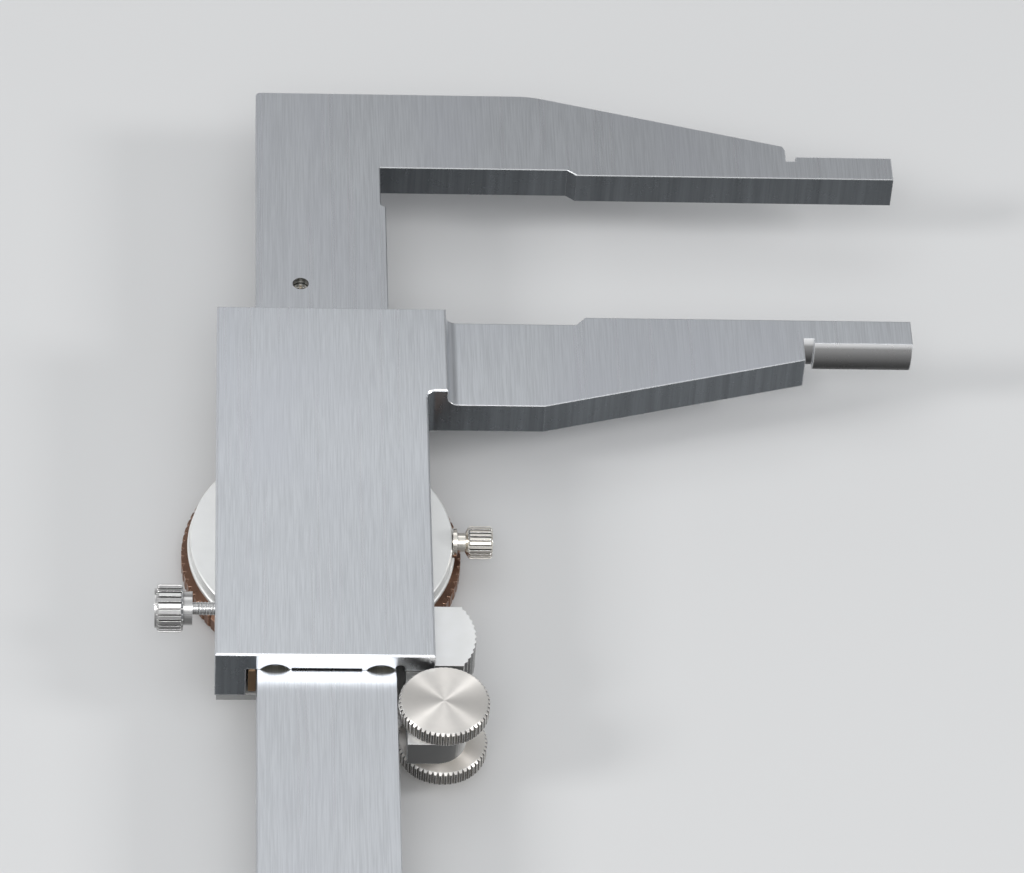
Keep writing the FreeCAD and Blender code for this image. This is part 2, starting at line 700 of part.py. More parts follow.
def case_screw_places():
    """Centres of the screws through the floor of the dial case."""
    places = []
    for x in (DIAL_X - CASE_SCREW_X, DIAL_X + CASE_SCREW_X):
        for y in (DIAL_Y - CASE_SCREW_DY, DIAL_Y + CASE_SCREW_DY):
            places.append((x, y))
    return places


def make_cover_plate():
    """The plate that closes the channel on the dial side."""
    plate = box(
        SLIDER_LEFT_X + COVER_INSET, SLIDER_RIGHT_X - COVER_INSET,
        SLIDER_END_Y + COVER_INSET, SLIDER_TOP_Y - COVER_INSET,
        COVER_FRONT_Z, WALL_FOOT_Z,
    )
    plate = plate.cut(rod_z(PINION_X, PINION_Y, COVER_FRONT_Z, WALL_FOOT_Z, pinion_window_radius()))
    for x, y in cover_screw_places():
        plate = plate.cut(small_screw_hole(x, y, COVER_FRONT_Z, COVER_SCREW_REACH))
    for x, y in case_screw_places():
        plate = plate.cut(small_screw_hole(x, y, FLOOR_Z, CASE_SCREW_REACH + CASE_FLOOR))
    for y in REST_SCREW_YS:
        plate = plate.cut(small_screw_hole(REST_SCREW_X, y, COVER_FRONT_Z, REST_SCREW_REACH))
    return plate


def pinion_window_radius():
    """Radius of the hole in the cover plate that the rack pinion reaches through."""
    return RACK_PITCH_RADIUS + RACK_PINION_TIP + GROOVE_CLEARANCE


def make_cover_screws():
    """Flush screws of the cover plate."""
    return group([small_screw(x, y, COVER_FRONT_Z, COVER_SCREW_REACH) for x, y in cover_screw_places()])


def make_case_screws():
    """Flush screws that hold the dial case and the cover plate to the slider's walls."""
    reach = CASE_SCREW_REACH + CASE_FLOOR
    return group([small_screw(x, y, FLOOR_Z, reach) for x, y in case_screw_places()])


def make_gib_strip():
    """The bronze strip that takes up the side play of the beam."""
    strip = box(
        GIB_LEFT_X, GIB_RIGHT_X,
        SLIDER_END_Y + GIB_END_GAP, SLIDER_TOP_Y - GIB_END_GAP,
        MID_Z - GIB_HEIGHT / 2, MID_Z + GIB_HEIGHT / 2,
    )
    strip = edge_break(strip, GIB_CORNER_BREAK, MID_Z + GIB_HEIGHT / 2)
    for y in GRUB_YS:
        strip = strip.cut(rod_x(y, MID_Z, GIB_LEFT_X, GIB_LEFT_X + GRUB_POINT_LENGTH, GRUB_POINT_RADIUS))
    return strip


def make_gib_screws():
    """Grub screws whose points seat in the gib strip."""
    screws = []
    for y in GRUB_YS:
        outer = GIB_LEFT_X - GRUB_LENGTH
        thread = rod_x(y, MID_Z, outer, GIB_LEFT_X, GRUB_RADIUS)
        point = rod_x(y, MID_Z, GIB_LEFT_X, GIB_LEFT_X + GRUB_POINT_LENGTH, GRUB_POINT_RADIUS)
        socket = prism(hexagon(GRUB_HEX_ACROSS), 0, GRUB_HEX_DEPTH)
        socket.rotate(V(0, 0, 0), V(0, 1, 0), 90)
        socket.translate(V(outer, y, MID_Z))
        screws.append(fused(thread, point).cut(socket))
    return group(screws)


def hexagon(across):
    """Corners of a hexagon with a given width across its flats."""
    reach = across / math.sqrt(3)
    angles = [math.radians(60 * i) for i in range(6)]
    return [(reach * math.cos(angle), reach * math.sin(angle)) for angle in angles]


def make_lock_screw():
    """The knurled screw that presses the gib strip against the beam."""
    tip = GIB_LEFT_X - RUN
    shank_end = SLIDER_LEFT_X - LOCK_STANDOFF
    collar_end = shank_end - LOCK_COLLAR_LENGTH
    head_end = collar_end - LOCK_HEAD_LENGTH
    shank = rod_x(LOCK_Y, MID_Z, shank_end, tip, LOCK_SHANK_RADIUS)
    collar = rod_x(LOCK_Y, MID_Z, collar_end, shank_end, LOCK_COLLAR_RADIUS)
    head = knurled_bar(LOCK_HEAD_RADIUS, LOCK_KNURLS, LOCK_HEAD_LENGTH)
    head.translate(V(head_end, LOCK_Y, MID_Z))
    end = rod_x(LOCK_Y, MID_Z, head_end - LOCK_END_LENGTH, head_end, LOCK_HEAD_RADIUS - 2 * KNURL_DEPTH)
    return fused(shank, collar, head, end)


def make_dial_case():
    """The turned case: back flange, ring, skirt and the cavity of the movement."""
    profile = [
        (0, COVER_FRONT_Z),
        (CASE_FLANGE_RADIUS - CASE_EDGE_BREAK, COVER_FRONT_Z),
        (CASE_FLANGE_RADIUS, COVER_FRONT_Z - CASE_EDGE_BREAK),
        (CASE_FLANGE_RADIUS, RING_Z),
        (CASE_RING_RADIUS - CASE_EDGE_BREAK, RING_Z),
        (CASE_RING_RADIUS, RING_Z - CASE_EDGE_BREAK),
        (CASE_RING_RADIUS, SKIRT_Z),
        (CASE_SKIRT_RADIUS, SKIRT_Z),
        (CASE_SKIRT_RADIUS, snap_ring_z() + SNAP_RING_WIRE),
        (CASE_SKIRT_RADIUS - SNAP_RING_WIRE, snap_ring_z() + SNAP_RING_WIRE),
        (CASE_SKIRT_RADIUS - SNAP_RING_WIRE, snap_ring_z()),
        (CASE_SKIRT_RADIUS, snap_ring_z()),
        (CASE_SKIRT_RADIUS, CASE_END_Z),
        (CASE_CAVITY_RADIUS, CASE_END_Z),
        (CASE_CAVITY_RADIUS, FLOOR_Z),
        (0, FLOOR_Z),
    ]
    case = turned(profile, DIAL_X, DIAL_Y)
    case = case.cut(rod_z(PINION_X, PINION_Y, FLOOR_Z, COVER_FRONT_Z, ARBOR_HUB_RADIUS + PIVOT_GAP))
    case = case.cut(rod_z(DIAL_X, DIAL_Y, FLOOR_Z, centre_pivot_z(), ARBOR_PIVOT_RADIUS + PIVOT_GAP))
    for x, y in case_screw_places():
        case = case.cut(small_screw_hole(x, y, FLOOR_Z, CASE_SCREW_REACH + CASE_FLOOR))
    for x, y in pillar_places():
        case = case.cut(rod_z(x, y, FLOOR_Z, FLOOR_Z + bridge_screw_bite(), SMALL_SHANK_RADIUS))
    hole_end = DIAL_X + CASE_RING_RADIUS
    hole = rod_x(DIAL_Y, clamp_z(), clamp_tip_x() - SEAT_GAP, hole_end, CLAMP_SHANK_RADIUS + RUN)
    half = CLAMP_FLANGE_RADIUS + SEAT_GAP
    flat = box(
        case_flat_x(), DIAL_X + CASE_RING_RADIUS,
        DIAL_Y - half, DIAL_Y + half,
        SKIRT_Z, COVER_FRONT_Z,
    )
    return case.cut(hole).cut(flat)


def case_flat_x():
    """The flat milled on the side of the case, where the clamp screw enters."""
    half = CLAMP_FLANGE_RADIUS + SEAT_GAP
    return DIAL_X + math.sqrt(CASE_FLANGE_RADIUS ** 2 - half ** 2)


def clamp_face_x():
    """Inner side of the clamp screw's flange."""
    return case_flat_x() + CLAMP_STANDOFF


def clamp_tip_x():
    """Inner end of the clamp screw."""
    return case_flat_x() - CLAMP_SHANK_LENGTH


def clamp_z():
    """Height of the clamp screw, whose flange bears on the bezel's back cone."""
    slope = BEZEL_CONE_HEIGHT / (BEZEL_RADIUS - BEZEL_CONE_RADIUS)
    cone_z = BEZEL_BACK_Z - slope * (clamp_face_x() - DIAL_X - BEZEL_CONE_RADIUS)
    return cone_z + RUN + CLAMP_FLANGE_RADIUS


def centre_pivot_z():
    """Bottom of the blind bearing for the centre arbor."""
    return FLOOR_Z + CASE_FLOOR / 2


def bridge_screw_bite():
    """How far the bridge screws enter the floor of the case."""
    return CASE_FLOOR - 0.2


def pillar_places():
    """Centres of the pillars that carry the bridge."""
    places = []
    for degrees in BRIDGE_PILLAR_ANGLES:
        angle = math.radians(degrees)
        x = DIAL_X + BRIDGE_PILLAR_CIRCLE * math.cos(angle)
        y = DIAL_Y + BRIDGE_PILLAR_CIRCLE * math.sin(angle)
        places.append((x, y))
    return places


def bridge_screw_reach():
    """Length of a bridge screw from its head's outer face."""
    return FLOOR_Z - BRIDGE_FRONT_Z + bridge_screw_bite()


def make_movement_bridge():
    """The plate that carries the front pivots, on three pillars."""
    plate = rod_z(DIAL_X, DIAL_Y, BRIDGE_FRONT_Z, BRIDGE_Z, BRIDGE_RADIUS)
    for x, y in pillar_places():
        plate = plate.fuse(rod_z(x, y, BRIDGE_Z, FLOOR_Z, BRIDGE_PILLAR_RADIUS))
    plate = plate.removeSplitter()
    for x, y in pillar_places():
        plate = plate.cut(small_screw_hole(x, y, BRIDGE_FRONT_Z, bridge_screw_reach()))
    plate = plate.cut(rod_z(PINION_X, PINION_Y, BRIDGE_FRONT_Z, BRIDGE_Z, ARBOR_PIVOT_RADIUS + PIVOT_GAP))
    return plate.cut(rod_z(DIAL_X, DIAL_Y, BRIDGE_FRONT_Z, BRIDGE_Z, CENTRE_ARBOR_RADIUS + PIVOT_GAP))


def make_bridge_screws():
    """Flush screws through the bridge's pillars."""
    return group([small_screw(x, y, BRIDGE_FRONT_Z, bridge_screw_reach()) for x, y in pillar_places()])


def make_rack_pinion():
    """The pinion in the rack, with the arbor that carries the drive wheel."""
    top = GROOVE_FLOOR_Z - RACK_SINK
    pinion = gear(
        PINION_X, PINION_Y, top - RACK_PINION_HEIGHT, top,
        RACK_PITCH_RADIUS, RACK_PINION_TEETH, RACK_PINION_TIP, RACK_PINION_ROOT, 180.0,
    )
    hub = rod_z(PINION_X, PINION_Y, WHEEL_Z, top - RACK_PINION_HEIGHT, ARBOR_HUB_RADIUS)
    arbor = rod_z(PINION_X, PINION_Y, TRAIN_END_Z - BRIDGE_GAP / 2, WHEEL_Z, ARBOR_RADIUS)
    pivot = rod_z(PINION_X, PINION_Y, BRIDGE_FRONT_Z, TRAIN_END_Z - BRIDGE_GAP / 2, ARBOR_PIVOT_RADIUS)
    return fused(pinion, hub, arbor, pivot)


def make_wheel(top_z):
    """One half of the split wheel on the rack pinion's arbor, in mesh with the centre pinion."""
    pitch_radius = WHEEL_MODULE * WHEEL_TEETH / 2
    wheel = gear(
        PINION_X, PINION_Y, top_z - WHEEL_THICKNESS, top_z,
        pitch_radius, WHEEL_TEETH, GEAR_TIP, GEAR_ROOT, -90.0,
    )
    return wheel.cut(rod_z(PINION_X, PINION_Y, top_z - WHEEL_THICKNESS, top_z, ARBOR_RADIUS))


def make_wheel_spring():
    """The open ring spring between the two halves of the split wheel."""
    z = SECOND_WHEEL_Z + WHEEL_SPACING / 2
    top = z + WHEEL_SPACING / 2
    ring = rod_z(PINION_X, PINION_Y, SECOND_WHEEL_Z, top, SPRING_RADIUS + SPRING_WIRE / 2)
    ring = ring.cut(rod_z(PINION_X, PINION_Y, SECOND_WHEEL_Z, top, SPRING_RADIUS - SPRING_WIRE / 2))
    half = math.radians(SPRING_OPENING / 2)
    reach = 2 * SPRING_RADIUS
    opening = prism(
        [
            (PINION_X, PINION_Y),
            (PINION_X + reach * math.cos(half), PINION_Y - reach * math.sin(half)),
            (PINION_X + reach * math.cos(half), PINION_Y + reach * math.sin(half)),
        ],
        SECOND_WHEEL_Z,
        top,
    )
    return ring.cut(opening)


def make_centre_pinion():
    """The pinion and arbor that carry the pointer."""
    pitch_radius = WHEEL_MODULE * CENTRE_PINION_TEETH / 2
    gap_to_tooth = 180.0 / CENTRE_PINION_TEETH
    pinion = gear(
        DIAL_X, DIAL_Y, TRAIN_END_Z, WHEEL_Z,
        pitch_radius, CENTRE_PINION_TEETH, GEAR_TIP, GEAR_ROOT, 90.0 + gap_to_tooth,
    )
    back_pivot = rod_z(DIAL_X, DIAL_Y, WHEEL_Z, centre_pivot_z() - SEAT_GAP, ARBOR_PIVOT_RADIUS)
    arbor = rod_z(DIAL_X, DIAL_Y, DIAL_FRONT_Z, TRAIN_END_Z, CENTRE_ARBOR_RADIUS)
    seat = rod_z(DIAL_X, DIAL_Y, pointer_z() - POINTER_HUB_HEIGHT, DIAL_FRONT_Z, POINTER_SEAT_RADIUS)
    return fused(pinion, back_pivot, arbor, seat)


def pointer_z():
    """Back face of the pointer, in front of the dial."""
    return DIAL_FRONT_Z - POINTER_GAP


def make_pointer():
    """The pointer with its hub, pressed on the centre arbor. Its tip is up at rest."""
    top = pointer_z()
    front = top - POINTER_THICKNESS
    tail_half = POINTER_TAIL_WIDTH / 2
    tip_half = POINTER_TIP_WIDTH / 2
    blade = prism(
        [
            (DIAL_X - tail_half, DIAL_Y - POINTER_TAIL),
            (DIAL_X + tail_half, DIAL_Y - POINTER_TAIL),
            (DIAL_X + tip_half, DIAL_Y + POINTER_LENGTH),
            (DIAL_X - tip_half, DIAL_Y + POINTER_LENGTH),
        ],
        front,
        top,
    )
    hub = rod_z(DIAL_X, DIAL_Y, top - POINTER_HUB_HEIGHT, top, POINTER_HUB_RADIUS)
    return fused(blade, hub).cut(rod_z(DIAL_X, DIAL_Y, top - POINTER_HUB_HEIGHT, top, POINTER_SEAT_RADIUS))


def make_dial_plate():
    """The graduated plate, held against the shelf of the bezel."""
    plate = rod_z(DIAL_X, DIAL_Y, DIAL_FRONT_Z, DIAL_Z, DIAL_RADIUS)
    return plate.cut(rod_z(DIAL_X, DIAL_Y, DIAL_FRONT_Z, DIAL_Z, DIAL_HOLE_RADIUS))


def snap_ring_z():
    """Lower side of the groove for the snap ring."""
    return CASE_END_Z + SNAP_RING_WIRE


def make_bezel():
    """The turning bezel with its notched rim, back cone, shelf and crystal seat."""
    bore = CASE_SKIRT_RADIUS + BEZEL_BORE_GAP
    groove = bore + SNAP_RING_WIRE / 2
    profile = [
        (bore, BEZEL_BACK_Z),
        (BEZEL_CONE_RADIUS, BEZEL_BACK_Z),
        (BEZEL_RADIUS, BEZEL_BACK_Z - BEZEL_CONE_HEIGHT),
        (BEZEL_RADIUS, BEZEL_FRONT_Z + BEZEL_LIP),
        (BEZEL_RADIUS - BEZEL_LIP, BEZEL_FRONT_Z),
        (CRYSTAL_RADIUS, BEZEL_FRONT_Z),
        (CRYSTAL_RADIUS, SHELF_FRONT_Z),
        (BEZEL_SHELF_RADIUS, SHELF_FRONT_Z),
        (BEZEL_SHELF_RADIUS, DIAL_FRONT_Z),
        (bore, DIAL_FRONT_Z),
        (bore, snap_ring_z() - SEAT_GAP),
        (groove, snap_ring_z() - SEAT_GAP),
        (groove, snap_ring_z() + SNAP_RING_WIRE + SEAT_GAP),
        (bore, snap_ring_z() + SNAP_RING_WIRE + SEAT_GAP),
    ]
    bezel = turned(profile, DIAL_X, DIAL_Y)
    corners = []
    step = 2 * math.pi / BEZEL_NOTCHES
    for i in range(BEZEL_NOTCHES):
        for share, reach in (
            (-BEZEL_LAND_SHARE / 2, BEZEL_RADIUS),
            (BEZEL_LAND_SHARE / 2, BEZEL_RADIUS),
            (0.5, BEZEL_RADIUS - BEZEL_NOTCH_DEPTH),
        ):
            angle = step * (i + share)
            corners.append((DIAL_X + reach * math.cos(angle), DIAL_Y + reach * math.sin(angle)))
    return bezel.common(prism(corners, BEZEL_FRONT_Z, BEZEL_BACK_Z))


def make_snap_ring():
    """The open wire ring in the case's groove that keeps the bezel on."""
    low = snap_ring_z()
    outer = CASE_SKIRT_RADIUS + SNAP_RING_WIRE / 2 - SEAT_GAP
    inner = CASE_SKIRT_RADIUS - SNAP_RING_WIRE
    ring = rod_z(DIAL_X, DIAL_Y, low, low + SNAP_RING_WIRE, outer)
    ring = ring.cut(rod_z(DIAL_X, DIAL_Y, low, low + SNAP_RING_WIRE, inner))
    half = math.radians(SNAP_RING_GAP_ANGLE / 2)
    reach = 2 * outer
    opening = prism(
        [
            (DIAL_X, DIAL_Y),
            (DIAL_X - reach * math.sin(half), DIAL_Y - reach * math.cos(half)),
            (DIAL_X + reach * math.sin(half), DIAL_Y - reach * math.cos(half)),
        ],
        low,
        low + SNAP_RING_WIRE,
    )
    return ring.cut(opening)


def make_crystal():
    """The clear flat window with its front edge bevelled, a little below the bezel's rim."""
    front = SHELF_FRONT_Z - CRYSTAL_THICKNESS
    profile = [
        (0, front),
        (CRYSTAL_RADIUS - CRYSTAL_BEVEL, front),
        (CRYSTAL_RADIUS, front + CRYSTAL_BEVEL),
        (CRYSTAL_RADIUS, SHELF_FRONT_Z),
        (0, SHELF_FRONT_Z),
    ]
    return turned(profile, DIAL_X, DIAL_Y)


def make_clamp_screw():
    """The small knurled screw whose flange bears on the bezel's back cone."""
    z = clamp_z()
    flange_x = clamp_face_x()
    neck_x = flange_x + CLAMP_FLANGE_THICKNESS
    cone_x = neck_x + CLAMP_NECK_LENGTH
    head_x = cone_x + CLAMP_CONE_LENGTH
    shank = rod_x(DIAL_Y, z, clamp_tip_x(), flange_x, CLAMP_SHANK_RADIUS)
    flange = rod_x(DIAL_Y, z, flange_x, neck_x, CLAMP_FLANGE_RADIUS)
    neck = rod_x(DIAL_Y, z, neck_x, cone_x, CLAMP_NECK_RADIUS)
    cone = Part.makeCone(
        CLAMP_NECK_RADIUS, CLAMP_HEAD_RADIUS - KNURL_CHAMFER, CLAMP_CONE_LENGTH,
        V(cone_x, DIAL_Y, z), V(1, 0, 0),
    )
    head = knurled_bar(CLAMP_HEAD_RADIUS, CLAMP_KNURLS, CLAMP_HEAD_LENGTH)
    head.translate(V(head_x, DIAL_Y, z))
    return fused(shank, flange, neck, cone, head)


def make_thumb_rest():
    """The knurled thumb rest and the arm that holds the roller's spindle."""
    centre_x = REST_REACH_X - REST_KNURL_RADIUS
    half_angle = math.asin(REST_KNURL_FROM_TOP / REST_KNURL_RADIUS)
    rest_end = REST_TOP_Y - 2 * REST_KNURL_FROM_TOP
    corners = [(ARM_LEFT_X, REST_TOP_Y)]
    for i in range(2 * REST_KNURLS + 1):
        angle = half_angle * (1 - i / REST_KNURLS)
        reach = REST_KNURL_RADIUS - REST_KNURL_DEPTH * (i % 2)
        corners.append((centre_x + reach * math.cos(angle), REST_KNURL_CENTRE_Y + reach * math.sin(angle)))
    corners.append((ARM_LEFT_X, rest_end))
    rest = prism(corners, WALL_FOOT_Z, CHANNEL_TOP_Z)
    arm = prism(
        [
            (ARM_LEFT_X, rest_end),
            (ARM_LEFT_X, ROLLER_Y - ARM_REACH),
            (ARM_RIGHT_X, ROLLER_Y - ARM_REACH, ARM_END_RADIUS),
            (ARM_RIGHT_X, rest_end),
        ],
        WALL_FOOT_Z,
        -ARM_STEP,
    )
    piece = fused(rest, arm)
    piece = piece.cut(rod_z(ROLLER_X, ROLLER_Y, WALL_FOOT_Z, -ARM_STEP, SPINDLE_RADIUS + RUN))
    for y in REST_SCREW_YS:
        piece = piece.cut(small_screw_hole(REST_SCREW_X, y, COVER_FRONT_Z, REST_SCREW_REACH))
    return piece


def make_rest_screws():
    """Screws through the cover plate and the thumb rest into the slider's back."""
    return group([small_screw(REST_SCREW_X, y, COVER_FRONT_Z, REST_SCREW_REACH) for y in REST_SCREW_YS])


def make_roller_upper():
    """The knurled disc on the back side, with the spindle that runs in the arm."""
    low = ROLLER_TOP - ROLLER_DISC_HEIGHT
    disc = knurled_disc(ROLLER_X, ROLLER_Y, low, ROLLER_TOP, ROLLER_RADIUS)
    spindle = rod_z(ROLLER_X, ROLLER_Y, low - SPINDLE_LENGTH, low, SPINDLE_RADIUS)
    hole = rod_z(
        ROLLER_X, ROLLER_Y,
        low - SPINDLE_LENGTH, low - SPINDLE_LENGTH + ROLLER_SCREW_SHANK_LENGTH,
        ROLLER_SCREW_SHANK_RADIUS,
    )
    return fused(disc, spindle).cut(hole)


def roller_screw_z():
    """End of the spindle, where the head of the roller screw bears."""
    return ROLLER_TOP - ROLLER_DISC_HEIGHT - SPINDLE_LENGTH


def make_roller_lower():
    """The knurled disc on the dial side, pushed on the spindle."""
    low = -ROLLER_LOWER_TOP - ROLLER_DISC_HEIGHT
    disc = knurled_disc(ROLLER_X, ROLLER_Y, low, -ROLLER_LOWER_TOP, ROLLER_RADIUS)
    hub = rod_z(ROLLER_X, ROLLER_Y, -ROLLER_LOWER_TOP, WALL_FOOT_Z - SEAT_GAP, ROLLER_HUB_RADIUS)
    wheel = fused(disc, hub)
    wheel = wheel.cut(rod_z(ROLLER_X, ROLLER_Y, roller_screw_z(), WALL_FOOT_Z, SPINDLE_RADIUS))
    return wheel.cut(rod_z(ROLLER_X, ROLLER_Y, low, roller_screw_z(), ROLLER_SCREW_HEAD_RADIUS))


def make_roller_screw():
    """The screw in the end of the spindle that keeps the lower disc on."""
    seat = roller_screw_z()
    head = rod_z(ROLLER_X, ROLLER_Y, seat - ROLLER_SCREW_HEAD_HEIGHT, seat, ROLLER_SCREW_HEAD_RADIUS)
    shank = rod_z(ROLLER_X, ROLLER_Y, seat, seat + ROLLER_SCREW_SHANK_LENGTH, ROLLER_SCREW_SHANK_RADIUS)
    slot = box(
        ROLLER_X - ROLLER_SCREW_HEAD_RADIUS, ROLLER_X + ROLLER_SCREW_HEAD_RADIUS,
        ROLLER_Y - SLOT_WIDTH / 2, ROLLER_Y + SLOT_WIDTH / 2,
        seat - ROLLER_SCREW_HEAD_HEIGHT, seat - ROLLER_SCREW_HEAD_HEIGHT + SLOT_DEPTH,
    )
    return fused(head, shank).cut(slot)


NODES = {
    "beam": make_beam,
    "rack": make_rack,
    "rack_screws": make_rack_screws,
    "stop_screw": make_stop_screw,
    "slider": make_slider,
    "cover_plate": make_cover_plate,
    "cover_screws": make_cover_screws,
    "gib_strip": make_gib_strip,
    "gib_screws": make_gib_screws,
    "lock_screw": make_lock_screw,
    "dial_case": make_dial_case,
    "case_screws": make_case_screws,
    "movement_bridge": make_movement_bridge,
    "bridge_screws": make_bridge_screws,
    "rack_pinion": make_rack_pinion,
    "drive_wheel": lambda: make_wheel(WHEEL_Z),
    "backlash_wheel": lambda: make_wheel(SECOND_WHEEL_Z),
    "wheel_spring": make_wheel_spring,
    "centre_pinion": make_centre_pinion,
    "pointer": make_pointer,
    "dial_plate": make_dial_plate,
    "bezel": make_bezel,
    "snap_ring": make_snap_ring,
    "crystal": make_crystal,
    "clamp_screw": make_clamp_screw,
    "thumb_rest": make_thumb_rest,
    "rest_screws": make_rest_screws,
    "roller_upper": make_roller_upper,
    "roller_lower": make_roller_lower,
    "roller_screw": make_roller_screw,
}

os.makedirs("parts", exist_ok=True)
for name, make in NODES.items():
    make().exportStep(f"parts/{name}.step")
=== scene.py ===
import json
import math

import bpy
from mathutils import Matrix, Vector


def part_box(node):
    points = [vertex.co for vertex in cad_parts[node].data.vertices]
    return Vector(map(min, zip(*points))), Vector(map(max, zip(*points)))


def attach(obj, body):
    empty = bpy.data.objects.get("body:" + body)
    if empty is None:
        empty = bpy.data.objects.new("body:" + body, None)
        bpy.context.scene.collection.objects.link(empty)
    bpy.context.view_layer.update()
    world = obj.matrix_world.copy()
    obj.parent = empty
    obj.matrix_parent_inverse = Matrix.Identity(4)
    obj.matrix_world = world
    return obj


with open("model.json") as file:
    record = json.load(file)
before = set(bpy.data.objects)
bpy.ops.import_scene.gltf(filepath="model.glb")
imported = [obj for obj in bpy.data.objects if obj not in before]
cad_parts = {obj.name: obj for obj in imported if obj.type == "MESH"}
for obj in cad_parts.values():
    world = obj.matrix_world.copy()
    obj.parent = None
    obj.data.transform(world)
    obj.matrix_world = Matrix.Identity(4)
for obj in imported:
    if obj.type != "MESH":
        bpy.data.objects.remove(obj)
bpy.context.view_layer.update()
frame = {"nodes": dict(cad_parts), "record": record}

nodes = frame["nodes"]
MM = 0.001

# Camera, fitted to the photo: angles, then distance and target in mm
ELEVATION = math.radians(46.45)
YAW = math.radians(5.04)
ROLL = math.radians(4.31)
DISTANCE = 717.5
TARGET = Vector((25.04, -50.4, 0.0))
FOCAL_PIXELS = 5389.0
IMAGE_WIDTH = 1024
SENSOR_WIDTH = 36.0


def make_camera():
    ahead = Vector((
        math.sin(YAW) * math.cos(ELEVATION),
        math.cos(YAW) * math.cos(ELEVATION),
        -math.sin(ELEVATION),
    ))
    right = Vector((math.cos(YAW), -math.sin(YAW), 0.0))
    down = ahead.cross(right)
    rolled_right = right * math.cos(ROLL) - down * math.sin(ROLL)
    rolled_down = right * math.sin(ROLL) + down * math.cos(ROLL)
    place = (TARGET - ahead * DISTANCE) * MM
    data = bpy.data.cameras.new("camera")
    data.sensor_width = SENSOR_WIDTH
    data.lens = FOCAL_PIXELS * SENSOR_WIDTH / IMAGE_WIDTH
    data.clip_start = 0.01
    data.clip_end = 20.0
    camera = bpy.data.objects.new("camera", data)
    bpy.context.scene.collection.objects.link(camera)
    turn = Matrix((rolled_right, -rolled_down, -ahead)).transposed()
    camera.matrix_world = Matrix.Translation(place) @ turn.to_4x4()
    bpy.context.scene.camera = camera


make_camera()


# Materials
NOISE_START = (31.37, 17.53, 11.29)
# Painted shade: share of the base colour left on the upright sides of ground steel
PAINTED_SIDE_SHADE = 0.2
# Dark olive colour for faces that look down just above the beam's back: painted shade, in the olive
# tone of their rough surface
CHANNEL_ROOF = (0.09, 0.08, 0.055)
BEAM_MIDDLE_Z = -2.5
# Painted shading of a nib's round side: colour level by the upward part of its normal, from -0.5 at 0
# to 0.5 at 1, lighter towards the top
NIB_PAINTED_SHADING = ((0.19, 0.022), (0.4, 0.10), (0.66, 0.23), (0.86, 0.36), (0.95, 0.9), (1.0, 1.0))


def fill_ramp(ramp, levels, tint):
    """Fills a new colour ramp from (position, level) pairs in rising order."""
    for position, level in levels[1:-1]:
        ramp.elements.new(position)
    for element, (position, level) in zip(ramp.elements, levels):
        element.position = position
        element.color = (level * tint[0], level * tint[1], level * tint[2], 1.0)


